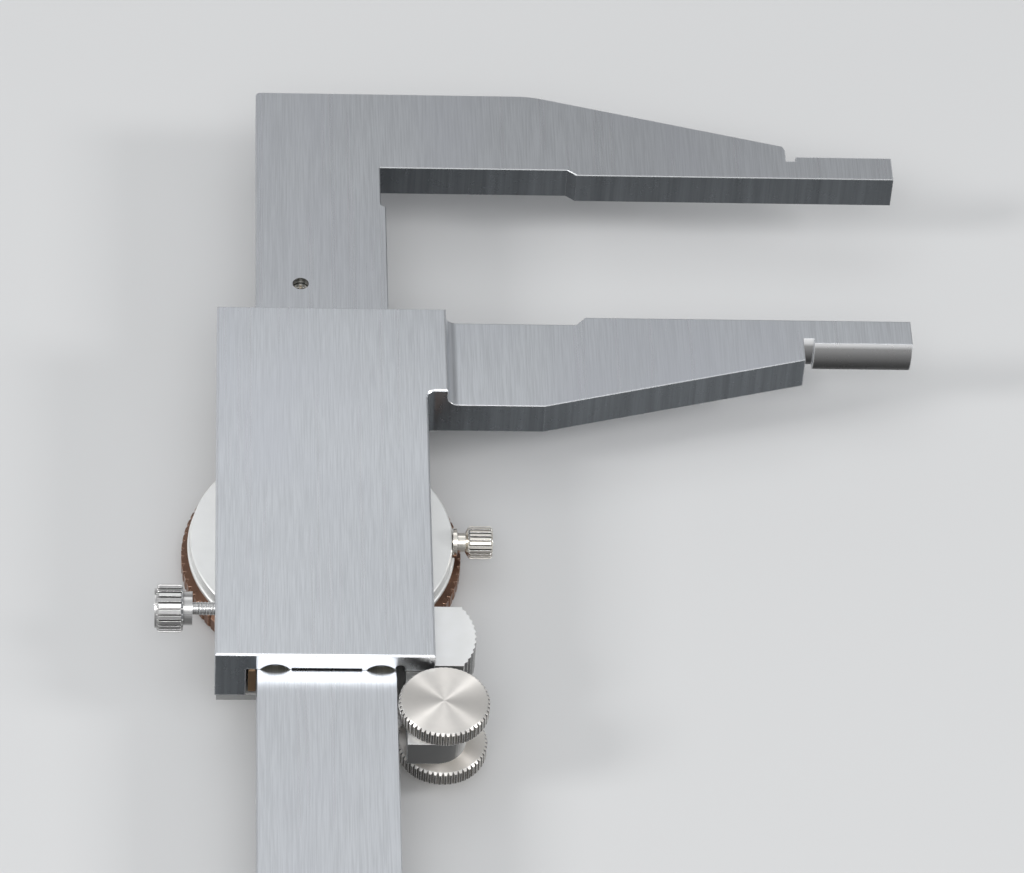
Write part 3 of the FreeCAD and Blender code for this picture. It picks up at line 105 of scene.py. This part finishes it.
class Surface:
    """A node material with a Principled shader and helpers for its procedural detail."""

    def __init__(self, name, metallic, roughness):
        self.mat = bpy.data.materials.new(name)
        self.mat.use_nodes = True
        self.tree = self.mat.node_tree
        self.tree.nodes.clear()
        self.out = self.add("ShaderNodeOutputMaterial")
        self.shader = self.add("ShaderNodeBsdfPrincipled")
        self.shader.inputs["Metallic"].default_value = metallic
        self.shader.inputs["Roughness"].default_value = roughness
        self.link(self.shader.outputs[0], self.out.inputs["Surface"])
        self.coords = self.add("ShaderNodeTexCoord").outputs["Object"]
        self.normal = None

    def add(self, kind):
        return self.tree.nodes.new(kind)

    def link(self, start, end):
        self.tree.links.new(start, end)

    def noise(self, scale, detail=3.0, roughness=0.55):
        """Noise whose cells per metre along X, Y and Z are given."""
        mapping = self.add("ShaderNodeMapping")
        mapping.inputs["Scale"].default_value = scale
        mapping.inputs["Location"].default_value = NOISE_START
        self.link(self.coords, mapping.inputs["Vector"])
        texture = self.add("ShaderNodeTexNoise")
        texture.inputs["Scale"].default_value = 1.0
        texture.inputs["Detail"].default_value = detail
        texture.inputs["Roughness"].default_value = roughness
        self.link(mapping.outputs[0], texture.inputs["Vector"])
        return texture.outputs["Fac"]

    def mix(self, kind, a, b):
        """A sum, product or other operation on two values, each a socket or a number."""
        node = self.add("ShaderNodeMath")
        node.operation = kind
        for socket, value in zip(node.inputs, (a, b)):
            if isinstance(value, (int, float)):
                socket.default_value = value
            else:
                self.link(value, socket)
        return node.outputs[0]

    def span(self, value, low, high, start=0.3, end=0.7):
        """Maps a value from start to end onto low to high."""
        node = self.add("ShaderNodeMapRange")
        node.inputs["From Min"].default_value = start
        node.inputs["From Max"].default_value = end
        node.inputs["To Min"].default_value = low
        node.inputs["To Max"].default_value = high
        self.link(value, node.inputs["Value"])
        return node.outputs[0]

    def between(self, first, second, factor):
        """A value between two others."""
        node = self.add("ShaderNodeMix")
        self.link(factor, node.inputs[0])
        self.link(first, node.inputs[2])
        self.link(second, node.inputs[3])
        return node.outputs[0]

    def blend_colour(self, first, second, factor):
        """A colour between two others, each a socket or a fixed colour."""
        node = self.add("ShaderNodeMix")
        node.data_type = "RGBA"
        for socket, value in ((node.inputs[6], first), (node.inputs[7], second)):
            if isinstance(value, list):
                socket.default_value = value
            else:
                self.link(value, socket)
        self.link(factor, node.inputs[0])
        return node.outputs[2]

    def tones(self, base, spread, factor):
        """A base colour varied between a darker and a lighter tone."""
        dark = [c * (1.0 - spread) for c in base] + [1.0]
        light = [min(1.0, c * (1.0 + spread)) for c in base] + [1.0]
        return self.blend_colour(dark, light, factor)

    def set_colour(self, socket):
        self.link(socket, self.shader.inputs["Base Color"])

    def parts_of(self, vector):
        """X, Y and Z of a vector."""
        split = self.add("ShaderNodeSeparateXYZ")
        self.link(vector, split.inputs[0])
        return split.outputs

    def face_direction(self):
        """X, Y and Z of the direction in which a face looks."""
        return self.parts_of(self.add("ShaderNodeNewGeometry").outputs["True Normal"])

    def side_mask(self):
        """1 on upright faces that look along Y, less on those along X, 0 on faces up or down."""
        look = self.face_direction()
        upright = self.span(self.mix("ABSOLUTE", look["Z"], 0.0), 1.0, 0.0, 0.2, 0.6)
        along = self.span(self.mix("ABSOLUTE", look["Y"], 0.0), 0.25, 1.0, 0.3, 0.8)
        return self.mix("MULTIPLY", upright, along)

    def above(self, value, limit):
        """1 where a value is more than a limit, else 0."""
        return self.mix("GREATER_THAN", value, limit)

    def below(self, value, limit):
        """1 where a value is less than a limit, else 0."""
        return self.mix("LESS_THAN", value, limit)

    def all_of(self, *masks):
        """1 where every mask is 1."""
        result = masks[0]
        for mask in masks[1:]:
            result = self.mix("MULTIPLY", result, mask)
        return result

    def round_nib(self, axis_y, side, root_x):
        """Mask and painted shading of the round side of a nib, whose axis runs along X in the beam's
        middle; the painted shading is lighter on top and darker below.

        It also gives that side a smooth normal.
        """
        place = self.parts_of(self.coords)
        look = self.face_direction()
        off_axis = self.mix("SUBTRACT", place["Y"], axis_y * MM)
        out = self.add("ShaderNodeCombineXYZ")
        self.link(off_axis, out.inputs["Y"])
        self.link(self.mix("SUBTRACT", place["Z"], BEAM_MIDDLE_Z * MM), out.inputs["Z"])
        smooth = self.add("ShaderNodeVectorMath")
        smooth.operation = "NORMALIZE"
        self.link(out.outputs[0], smooth.inputs[0])
        mask = self.all_of(
            self.above(place["X"], root_x * MM),
            self.above(look["Z"], -0.56),
            self.below(look["Z"], 0.56),
            self.above(self.mix("MULTIPLY", look["Y"], side), 0.5),
            self.above(self.mix("MULTIPLY", off_axis, side), 0.5 * MM),
        )
        blend = self.add("ShaderNodeMix")
        blend.data_type = "VECTOR"
        self.link(mask, blend.inputs[0])
        self.link(self.normal, blend.inputs[4])
        self.link(smooth.outputs[0], blend.inputs[5])
        self.normal = blend.outputs[1]
        # Painted shading: colour from the smooth normal's upward part, lighter on top and darker below
        tone = self.add("ShaderNodeValToRGB")
        self.link(self.span(self.parts_of(smooth.outputs[0])["Z"], 0.0, 1.0, -0.5, 0.5), tone.inputs[0])
        fill_ramp(tone.color_ramp, NIB_PAINTED_SHADING, (1.0, 0.99, 0.985))
        return mask, tone.outputs[0]

    def lower_edge(self):
        """1 on broken edges that look up and against Y, else 0."""
        look = self.face_direction()
        slanted = self.all_of(self.above(look["Z"], 0.45), self.below(look["Z"], 0.9))
        return self.all_of(slanted, self.below(look["Y"], -0.4))

    def cavity(self, distance):
        """1 in the open, towards 0 in narrow grooves and inner corners."""
        node = self.add("ShaderNodeAmbientOcclusion")
        node.samples = 8
        node.only_local = True
        node.inputs["Distance"].default_value = distance * MM
        return self.span(node.outputs["AO"], 0.0, 1.0, 0.15, 0.75)

    def end_band(self, half_width, end_y):
        """Past end_y: 1 within half_width of the middle, less to its right, 0 to its left."""
        place = self.parts_of(self.coords)
        half = half_width * MM
        middle = self.all_of(self.above(place["X"], -half), self.below(place["X"], half))
        right = self.mix("MULTIPLY", self.above(place["X"], half), 0.55)
        return self.all_of(self.mix("ADD", middle, right), self.below(place["Y"], end_y * MM))

    def channel_roof(self):
        """1 on faces that look down just above the beam's back, else 0."""
        high = self.above(self.parts_of(self.coords)["Z"], -0.6 * MM)
        return self.all_of(high, self.below(self.face_direction()["Z"], -0.3))

    def rough(self, value):
        self.link(value, self.shader.inputs["Roughness"])

    def soft_edges(self, radius):
        """Rounds the shading of sharp edges and returns a mask of where they are."""
        bevel = self.add("ShaderNodeBevel")
        bevel.samples = 4
        bevel.inputs["Radius"].default_value = radius * MM
        self.normal = bevel.outputs[0]
        geometry = self.add("ShaderNodeNewGeometry")
        dot = self.add("ShaderNodeVectorMath")
        dot.operation = "DOT_PRODUCT"
        self.link(bevel.outputs[0], dot.inputs[0])
        self.link(geometry.outputs["True Normal"], dot.inputs[1])
        return self.span(dot.outputs["Value"], 1.0, 0.0, 0.9, 0.995)

    def bump(self, height, strength, distance):
        node = self.add("ShaderNodeBump")
        node.inputs["Strength"].default_value = strength
        node.inputs["Distance"].default_value = distance * MM
        self.link(height, node.inputs["Height"])
        if self.normal is not None:
            self.link(self.normal, node.inputs["Normal"])
        self.normal = node.outputs[0]

    def finish(self):
        if self.normal is not None:
            self.link(self.normal, self.shader.inputs["Normal"])
        return self.mat


def brushed(
    name, base, roughness, nib, spread=0.075, painted_edge_highlight=(0.42, 0.425, 0.43), edge=0.05,
    end_reflection_band=None, painted_edge_shade=None,
):
    """Ground steel: fine hair lines along Y on the flats, milled bands on the sides under painted
    shade, painted highlights on edges.

    nib is what round_nib takes; it paints the shading of a nib's round side. end_reflection_band is
    what end_band takes: there the painted side shade is left out, as a painted reflection.
    painted_edge_shade is a colour of painted shade for the broken edges that lower_edge finds.
    """
    s = Surface(name, 1.0, roughness)
    mask = s.soft_edges(edge)
    drum, drum_painted_shading = s.round_nib(*nib)
    side = s.side_mask()
    # Painted shade on upright sides, except on a nib's round side
    painted_shade_mask = s.mix("MULTIPLY", side, s.mix("SUBTRACT", 1.0, drum))
    # Painted reflection: past the slider's end, a band over the beam's width is left out of the painted
    # side shade
    if end_reflection_band is not None:
        painted_shade_mask = s.mix("MULTIPLY", painted_shade_mask, s.mix("SUBTRACT", 1.0, s.end_band(*end_reflection_band)))
    fine = s.noise((5200.0, 140.0, 5200.0), 3.0, 0.6)
    streaks = s.noise((900.0, 10.0, 900.0), 2.0)
    clouds = s.noise((45.0, 22.0, 45.0), 2.0)
    bands = s.noise((900.0, 900.0, 25.0), 4.0, 0.7)
    both = s.mix("ADD", s.mix("MULTIPLY", fine, 0.82), s.mix("MULTIPLY", streaks, 0.18))
    grain = s.span(both, 0.0, 1.0, 0.38, 0.62)
    pattern = s.between(grain, s.span(bands, 0.0, 1.0), side)
    tone = s.tones(base, spread, pattern)
    tint = [base[0] * 0.985, base[1] * 0.98, min(1.0, base[2] * 1.01), 1.0]
    tone = s.blend_colour(tone, tint, s.span(clouds, 0.0, 0.7, 0.45, 0.7))
    # Painted shade: the darkened colour of upright sides, with the same grain
    dark = [base[0] * PAINTED_SIDE_SHADE * 0.95, base[1] * PAINTED_SIDE_SHADE, base[2] * PAINTED_SIDE_SHADE * 1.03]
    shaded_side_colour = s.tones(dark, 0.2, pattern)
    colour = s.blend_colour(tone, shaded_side_colour, painted_shade_mask)
    # Painted shade on faces that look down just above the beam's back
    if end_reflection_band is not None:
        colour = s.blend_colour(colour, list(CHANNEL_ROOF) + [1.0], s.channel_roof())
    # Painted shading on a nib's round side
    colour = s.blend_colour(colour, drum_painted_shading, drum)
    # Painted highlight: a set colour on sharp edges
    colour = s.blend_colour(colour, list(painted_edge_highlight) + [1.0], mask)
    # Painted shade: a darker colour on broken edges that look up and against Y
    if painted_edge_shade is not None:
        colour = s.blend_colour(colour, list(painted_edge_shade) + [1.0], s.lower_edge())
    s.set_colour(colour)
    s.rough(s.mix("ADD", s.span(streaks, -0.01, 0.01), roughness))
    s.bump(s.mix("MULTIPLY", bands, painted_shade_mask), 0.03, 0.003)
    s.shader.inputs["Anisotropic"].default_value = 0.45
    return s


def plated(
    name, base, roughness, spread=0.04, edge=0.1, painted_edge_highlight=(0.95, 0.94, 0.92),
    speck=0.0, hollow_shade=0.35, sides=1.0, metallic=1.0,
):
    """Plated or buffed metal: slight tone changes, fine pitting, painted shade in grooves and on
    upright sides, painted highlights on edges.
    """
    s = Surface(name, metallic, roughness)
    mask = s.soft_edges(edge)
    broad = s.noise((300.0, 300.0, 300.0), 3.0)
    small = s.noise((4500.0, 4500.0, 4500.0), 2.0)
    tone = s.tones(base, spread, s.span(broad, 0.0, 1.0))
    # Painted shade: upright sides take the base colour times sides
    shaded_sides = s.tones([c * sides for c in base], spread, s.span(broad, 0.0, 1.0))
    tone = s.blend_colour(tone, shaded_sides, s.side_mask())
    # Painted highlight: a set colour on sharp edges
    tone = s.blend_colour(tone, list(painted_edge_highlight) + [1.0], mask)
    # Painted shade in grooves and inner corners, down to a set share of the base colour
    s.set_colour(s.blend_colour([c * hollow_shade for c in base] + [1.0], tone, s.cavity(0.7)))
    s.rough(s.mix("ADD", s.span(broad, -0.03, 0.04), roughness))
    s.bump(small, 0.06 + speck, 0.004)
    return s


def turned(name, base, roughness, spread=0.03, edge=0.1, painted_edge_highlight=(0.97, 0.96, 0.94)):
    """Metal turned about Z: circular grain, so its highlights run out from the centre in wedges."""
    s = Surface(name, 1.0, roughness)
    mask = s.soft_edges(edge)
    tangent = s.add("ShaderNodeTangent")
    tangent.direction_type = "RADIAL"
    tangent.axis = "Z"
    s.link(tangent.outputs[0], s.shader.inputs["Tangent"])
    s.shader.inputs["Anisotropic"].default_value = 0.9
    s.shader.inputs["Anisotropic Rotation"].default_value = 0.25
    mottle = s.noise((500.0, 500.0, 500.0), 2.0)
    tone = s.tones(base, spread, s.span(mottle, 0.0, 1.0))
    # Painted shade: upright sides darkened to 0.12 of the base colour
    tone = s.blend_colour(tone, [c * 0.12 for c in base] + [1.0], s.side_mask())
    # Painted highlight: a set colour on sharp edges
    tone = s.blend_colour(tone, list(painted_edge_highlight) + [1.0], mask)
    # Painted shade in grooves and inner corners
    s.set_colour(s.blend_colour([c * 0.35 for c in base] + [1.0], tone, s.cavity(0.7)))
    s.rough(s.mix("ADD", s.span(mottle, -0.015, 0.015), roughness))
    return s


def paint(name, base, roughness, spread=0.03):
    """Paint or ink: an even colour with a fine, faint grain."""
    s = Surface(name, 0.0, roughness)
    grain = s.noise((2500.0, 2500.0, 2500.0), 3.0)
    s.set_colour(s.tones(base, spread, s.span(grain, 0.0, 1.0)))
    s.rough(s.mix("ADD", s.span(grain, -0.05, 0.05), roughness))
    s.bump(grain, 0.1, 0.004)
    return s


def clear_window(name):
    """A clear glossy window: mostly open to light, with a thin glossy reflection."""
    s = Surface(name, 0.0, 0.03)
    s.shader.inputs["Base Color"].default_value = (0.9, 0.92, 0.92, 1.0)
    open_part = s.add("ShaderNodeBsdfTransparent")
    open_part.inputs["Color"].default_value = (0.97, 0.98, 0.98, 1.0)
    blend = s.add("ShaderNodeMixShader")
    haze = s.noise((200.0, 200.0, 200.0), 2.0)
    s.link(s.span(haze, 0.05, 0.08), blend.inputs[0])
    s.link(open_part.outputs[0], blend.inputs[1])
    s.link(s.shader.outputs[0], blend.inputs[2])
    s.link(blend.outputs[0], s.out.inputs["Surface"])
    return s


NIB_ROOT_X = 65.4
MOVING_FACE_Y = -28.0
SLIDER_END_Y = -91.0
# Half width of the band on the slider's end face that is left out of the painted side shade, as a
# painted reflection
REFLECTION_BAND_HALF_WIDTH = 9.02
MATERIALS = {
    "hardened_steel": brushed(
        "hardened_steel", (0.66, 0.675, 0.70), 0.28, (0.0, 1.0, NIB_ROOT_X),
        painted_edge_shade=(0.21, 0.215, 0.22),
    ),
    "slider_steel": brushed(
        "slider_steel", (0.775, 0.795, 0.825), 0.28, (MOVING_FACE_Y, -1.0, NIB_ROOT_X), edge=0.22,
        painted_edge_highlight=(0.95, 0.96, 0.97), end_reflection_band=(REFLECTION_BAND_HALF_WIDTH, SLIDER_END_Y),
    ),
    "rack_steel": plated("rack_steel", (0.42, 0.43, 0.45), 0.35),
    "satin_chrome": plated(
        "satin_chrome", (0.93, 0.93, 0.915), 0.36, spread=0.02, sides=0.35, metallic=0.6,
    ),
    "screw_nickel": plated("screw_nickel", (0.72, 0.66, 0.57), 0.24, edge=0.06),
    "gib_bronze": plated(
        "gib_bronze", (0.17, 0.11, 0.065), 0.38, spread=0.12, edge=0.25, painted_edge_highlight=(0.36, 0.25, 0.16),
    ),
    "knob_steel": plated("knob_steel", (0.67, 0.66, 0.65), 0.2, edge=0.1, hollow_shade=0.08, sides=0.35),
    "knob_nickel": plated("knob_nickel", (0.96, 0.91, 0.83), 0.18, edge=0.1, hollow_shade=0.1, sides=0.5),
    "movement_brass": plated("movement_brass", (0.72, 0.52, 0.22), 0.25),
    "pointer_black": paint("pointer_black", (0.012, 0.012, 0.014), 0.4),
    "dial_white": paint("dial_white", (0.86, 0.855, 0.83), 0.5),
    "bezel_copper": plated(
        "bezel_copper", (0.23, 0.13, 0.09), 0.28,
        spread=0.15, painted_edge_highlight=(0.80, 0.52, 0.38), speck=0.1, hollow_shade=0.25,
    ),
    "crystal_clear": clear_window("crystal_clear"),
    "rest_matte": plated(
        "rest_matte", (0.99, 0.99, 0.975), 0.42, speck=0.1, hollow_shade=0.5, sides=0.13, metallic=0.7,
    ),
    "roller_warm": turned("roller_warm", (0.95, 0.91, 0.86), 0.43),
    "ink": paint("ink", (0.01, 0.01, 0.012), 0.45),
}
for item in MATERIALS.values():
    item.finish()

for part in frame["record"]["subparts"]:
    node = nodes[part["node"]]
    look = MATERIALS[part["material_slot"]].mat
    if not node.data.materials:
        node.data.materials.append(look)
    for index in range(len(node.material_slots)):
        node.material_slots[index].material = look


# Pieces that are added to the modelled parts; their points are in mm
def piece_from(name, points, faces, slot, body):
    mesh = bpy.data.meshes.new(name)
    mesh.from_pydata([Vector(p) * MM for p in points], [], faces)
    mesh.update()
    mesh.materials.append(MATERIALS[slot].mat)
    obj = bpy.data.objects.new(name, mesh)
    bpy.context.scene.collection.objects.link(obj)
    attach(obj, body)
    return obj


def centre_of(node):
    low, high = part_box(node)
    return (Vector(low) + Vector(high)) / 2 / MM


def thread(name, slot, body, start, end, core, crest, pitch, y, z):
    """A helical ridge on a shank along X."""
    steps = 24
    turns = (end - start) / pitch
    count = int(turns * steps)
    foot = core - 0.05
    points = []
    faces = []
    for i in range(count + 1):
        angle = 2 * math.pi * i / steps
        x = start + pitch * i / steps
        taper = min(1.0, i / steps, (count - i) / steps)
        high = core + (crest - core) * taper
        for share, reach in ((-0.42, foot), (-0.08, high), (0.08, high), (0.42, foot)):
            across = y + reach * math.cos(angle)
            points.append((x + share * pitch, across, z + reach * math.sin(angle)))
        if i:
            b = 4 * i
            for k in range(3):
                faces.append((b - 4 + k, b - 3 + k, b + 1 + k, b + k))
    return piece_from(name, points, faces, slot, body)


lock_centre = centre_of("lock_screw")
slider_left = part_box("slider")[0][0] / MM
thread(
    "lock_screw_thread", "knob_steel", "lock",
    start=slider_left - 2.65, end=slider_left + 0.5, core=0.8, crest=0.88, pitch=0.45,
    y=lock_centre.y, z=lock_centre.z,
)


def flat_marks(name, marks, z, slot, body):
    """Thin printed strokes on a face that looks down. Each mark is four (x, y) corners."""
    points = []
    faces = []
    for mark in marks:
        first = len(points)
        points += [(x, y, z) for x, y in mark]
        faces.append((first + 3, first + 2, first + 1, first))
    return piece_from(name, points, faces, slot, body)


def number_mesh(text, size, x, y, z, turn, mesh_points, mesh_faces):
    """Adds a number to points and faces, readable from below and centred at x, y, z.

    turn is about Z, in radians.
    """
    curve = bpy.data.curves.new("number", "FONT")
    curve.body = text
    curve.size = size * MM
    curve.align_x = "CENTER"
    curve.align_y = "CENTER"
    curve.resolution_u = 3
    holder = bpy.data.objects.new("number", curve)
    bpy.context.scene.collection.objects.link(holder)
    bpy.context.view_layer.update()
    mesh = bpy.data.meshes.new_from_object(holder)
    face_down = Matrix.Rotation(turn, 4, "Z") @ Matrix.Rotation(math.pi, 4, "Y")
    place = Matrix.Translation(Vector((x, y, z)) * MM) @ face_down
    first = len(mesh_points)
    for vertex in mesh.vertices:
        mesh_points.append((place @ vertex.co) / MM)
    for polygon in mesh.polygons:
        mesh_faces.append([first + index for index in polygon.vertices])
    bpy.data.objects.remove(holder)
    bpy.data.curves.remove(curve)
    bpy.data.meshes.remove(mesh)


PRINT_LIFT = 0.008
DIVISIONS = 100
MARK_END_RADIUS = 15.3
NUMBER_RADIUS = 11.4
dial_centre = centre_of("dial_plate")
dial_print_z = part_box("dial_plate")[0][2] / MM - PRINT_LIFT
dial_marks = []
for i in range(DIVISIONS):
    angle = 2 * math.pi * i / DIVISIONS
    long_mark = i % 10 == 0
    middle_mark = i % 5 == 0
    inner = 13.2 if long_mark else 13.8 if middle_mark else 14.3
    half = 0.11 if middle_mark else 0.07
    out = Vector((math.sin(angle), math.cos(angle)))
    side = Vector((out.y, -out.x)) * half
    middle = Vector((dial_centre.x, dial_centre.y))
    start = middle + out * inner
    end = middle + out * MARK_END_RADIUS
    dial_marks.append((start - side, end - side, end + side, start + side))
flat_marks("dial_graduations", dial_marks, dial_print_z, "ink", "bezel_ring")
points, faces = [], []
for i in range(10):
    angle = -2 * math.pi * i / 10
    x = dial_centre.x + NUMBER_RADIUS * math.sin(angle)
    y = dial_centre.y + NUMBER_RADIUS * math.cos(angle)
    number_mesh(str(10 * i), 2.5, x, y, dial_print_z, -angle, points, faces)
piece_from("dial_numbers", points, faces, "ink", "bezel_ring")

BEAM_EDGE_X = 9.0
MARKS_RIGHT_X = BEAM_EDGE_X - 0.3
NUMBERS_X = BEAM_EDGE_X - 5.2
SCALE_ZERO_Y = -1.6
SCALE_LENGTH = 300
HALF_MARK = 0.07
front_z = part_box("beam")[0][2] / MM - PRINT_LIFT
scale_marks = []
for i in range(SCALE_LENGTH + 1):
    low_y = SCALE_ZERO_Y - i - HALF_MARK
    high_y = SCALE_ZERO_Y - i + HALF_MARK
    left = BEAM_EDGE_X - (3.6 if i % 10 == 0 else 2.9 if i % 5 == 0 else 2.2)
    scale_marks.append(((left, low_y), (MARKS_RIGHT_X, low_y), (MARKS_RIGHT_X, high_y), (left, high_y)))
flat_marks("beam_graduations", scale_marks, front_z, "ink", "frame")
points, faces = [], []
for value in range(0, SCALE_LENGTH + 1, 10):
    number_mesh(str(value), 1.7, NUMBERS_X, SCALE_ZERO_Y - value, front_z, -math.pi / 2, points, faces)
piece_from("beam_numbers", points, faces, "ink", "frame")

# Floor, on which the part rests with its bezel and its stop screw; it touches the bezel's rim
REST_TILT = math.atan2(5.88, 286.2)
CONTACT = Vector((0.0, -81.8, -11.985)) * MM
FLOOR_REACH = 4.0


def make_stage():
    mesh = bpy.data.meshes.new("floor")
    corners = [(FLOOR_REACH * x, FLOOR_REACH * y, 0) for x, y in ((-1, -1), (1, -1), (1, 1), (-1, 1))]
    mesh.from_pydata(corners, [], [(0, 1, 2, 3)])
    floor = bpy.data.objects.new("floor", mesh)
    bpy.context.scene.collection.objects.link(floor)
    floor.matrix_world = Matrix.Translation(CONTACT) @ Matrix.Rotation(-REST_TILT, 4, "X")
    mat = bpy.data.materials.new("floor")
    mat.use_nodes = True
    shader = mat.node_tree.nodes["Principled BSDF"]
    shader.inputs["Base Color"].default_value = (0.62, 0.62, 0.62, 1.0)
    shader.inputs["Roughness"].default_value = 0.75
    shader.inputs["Specular IOR Level"].default_value = 0.1
    mesh.materials.append(mat)


def area_light(name, place, size_x, size_y, power, aim=(0.02, -0.08, 0.0)):
    data = bpy.data.lights.new(name, "AREA")
    data.shape = "RECTANGLE"
    data.size = size_x
    data.size_y = size_y
    data.energy = power
    lamp = bpy.data.objects.new(name, data)
    lamp.location = place
    towards = Vector(aim) - Vector(place)
    lamp.rotation_euler = towards.to_track_quat("-Z", "Y").to_euler()
    bpy.context.scene.collection.objects.link(lamp)


make_stage()
area_light("left", (-1.05, -0.33, 0.66), 0.3, 0.3, 5.7)
area_light("right", (1.1, -0.33, 0.66), 0.3, 0.3, 4.8)
area_light("front", (-0.02, -0.95, 1.0), 0.8, 0.5, 3.5)


# Light level by the sine of the height above the horizon, for the far side and for the near side
FAR_SKY = (
    (0.0, 0.60), (0.28, 0.55), (0.45, 0.36), (0.64, 0.30), (0.74, 0.58), (0.83, 1.32),
    (0.92, 1.15), (0.965, 0.72), (1.0, 0.68),
)
NEAR_SKY = (
    (0.0, 0.60), (0.28, 0.62), (0.45, 0.66), (0.66, 0.80), (0.74, 0.88), (0.82, 0.95),
    (0.92, 0.95), (0.965, 0.72), (1.0, 0.68),
)


def make_world():
    world = bpy.data.worlds.new("studio")
    bpy.context.scene.world = world
    world.use_nodes = True
    tree = world.node_tree
    tree.nodes.clear()
    out = tree.nodes.new("ShaderNodeOutputWorld")
    light = tree.nodes.new("ShaderNodeBackground")
    coords = tree.nodes.new("ShaderNodeTexCoord")
    split = tree.nodes.new("ShaderNodeSeparateXYZ")
    tree.links.new(coords.outputs["Generated"], split.inputs[0])
    near = tree.nodes.new("ShaderNodeMapRange")
    near.interpolation_type = "SMOOTHSTEP"
    near.inputs["From Min"].default_value = 0.15
    near.inputs["From Max"].default_value = -0.35
    tree.links.new(split.outputs["Y"], near.inputs["Value"])
    both = tree.nodes.new("ShaderNodeMix")
    both.data_type = "RGBA"
    tree.links.new(near.outputs[0], both.inputs[0])
    for levels, socket in ((FAR_SKY, both.inputs[6]), (NEAR_SKY, both.inputs[7])):
        ramp = tree.nodes.new("ShaderNodeValToRGB")
        fill_ramp(ramp.color_ramp, levels, (0.98, 1.0, 1.02))
        tree.links.new(split.outputs["Z"], ramp.inputs[0])
        if levels is NEAR_SKY:
            tree.links.new(ramp.outputs[0], socket)
            continue
        fade = tree.nodes.new("ShaderNodeMapRange")
        fade.inputs["From Min"].default_value = 0.0
        fade.inputs["From Max"].default_value = 0.22
        fade.inputs["To Min"].default_value = 1.0
        fade.inputs["To Max"].default_value = 0.66
        tree.links.new(split.outputs["X"], fade.inputs["Value"])
        dim = tree.nodes.new("ShaderNodeVectorMath")
        dim.operation = "SCALE"
        tree.links.new(ramp.outputs[0], dim.inputs[0])
        tree.links.new(fade.outputs[0], dim.inputs["Scale"])
        tree.links.new(dim.outputs[0], socket)
    tree.links.new(both.outputs[2], light.inputs["Color"])
    tree.links.new(light.outputs[0], out.inputs[0])


make_world()
bpy.context.scene.view_settings.view_transform = "Standard"
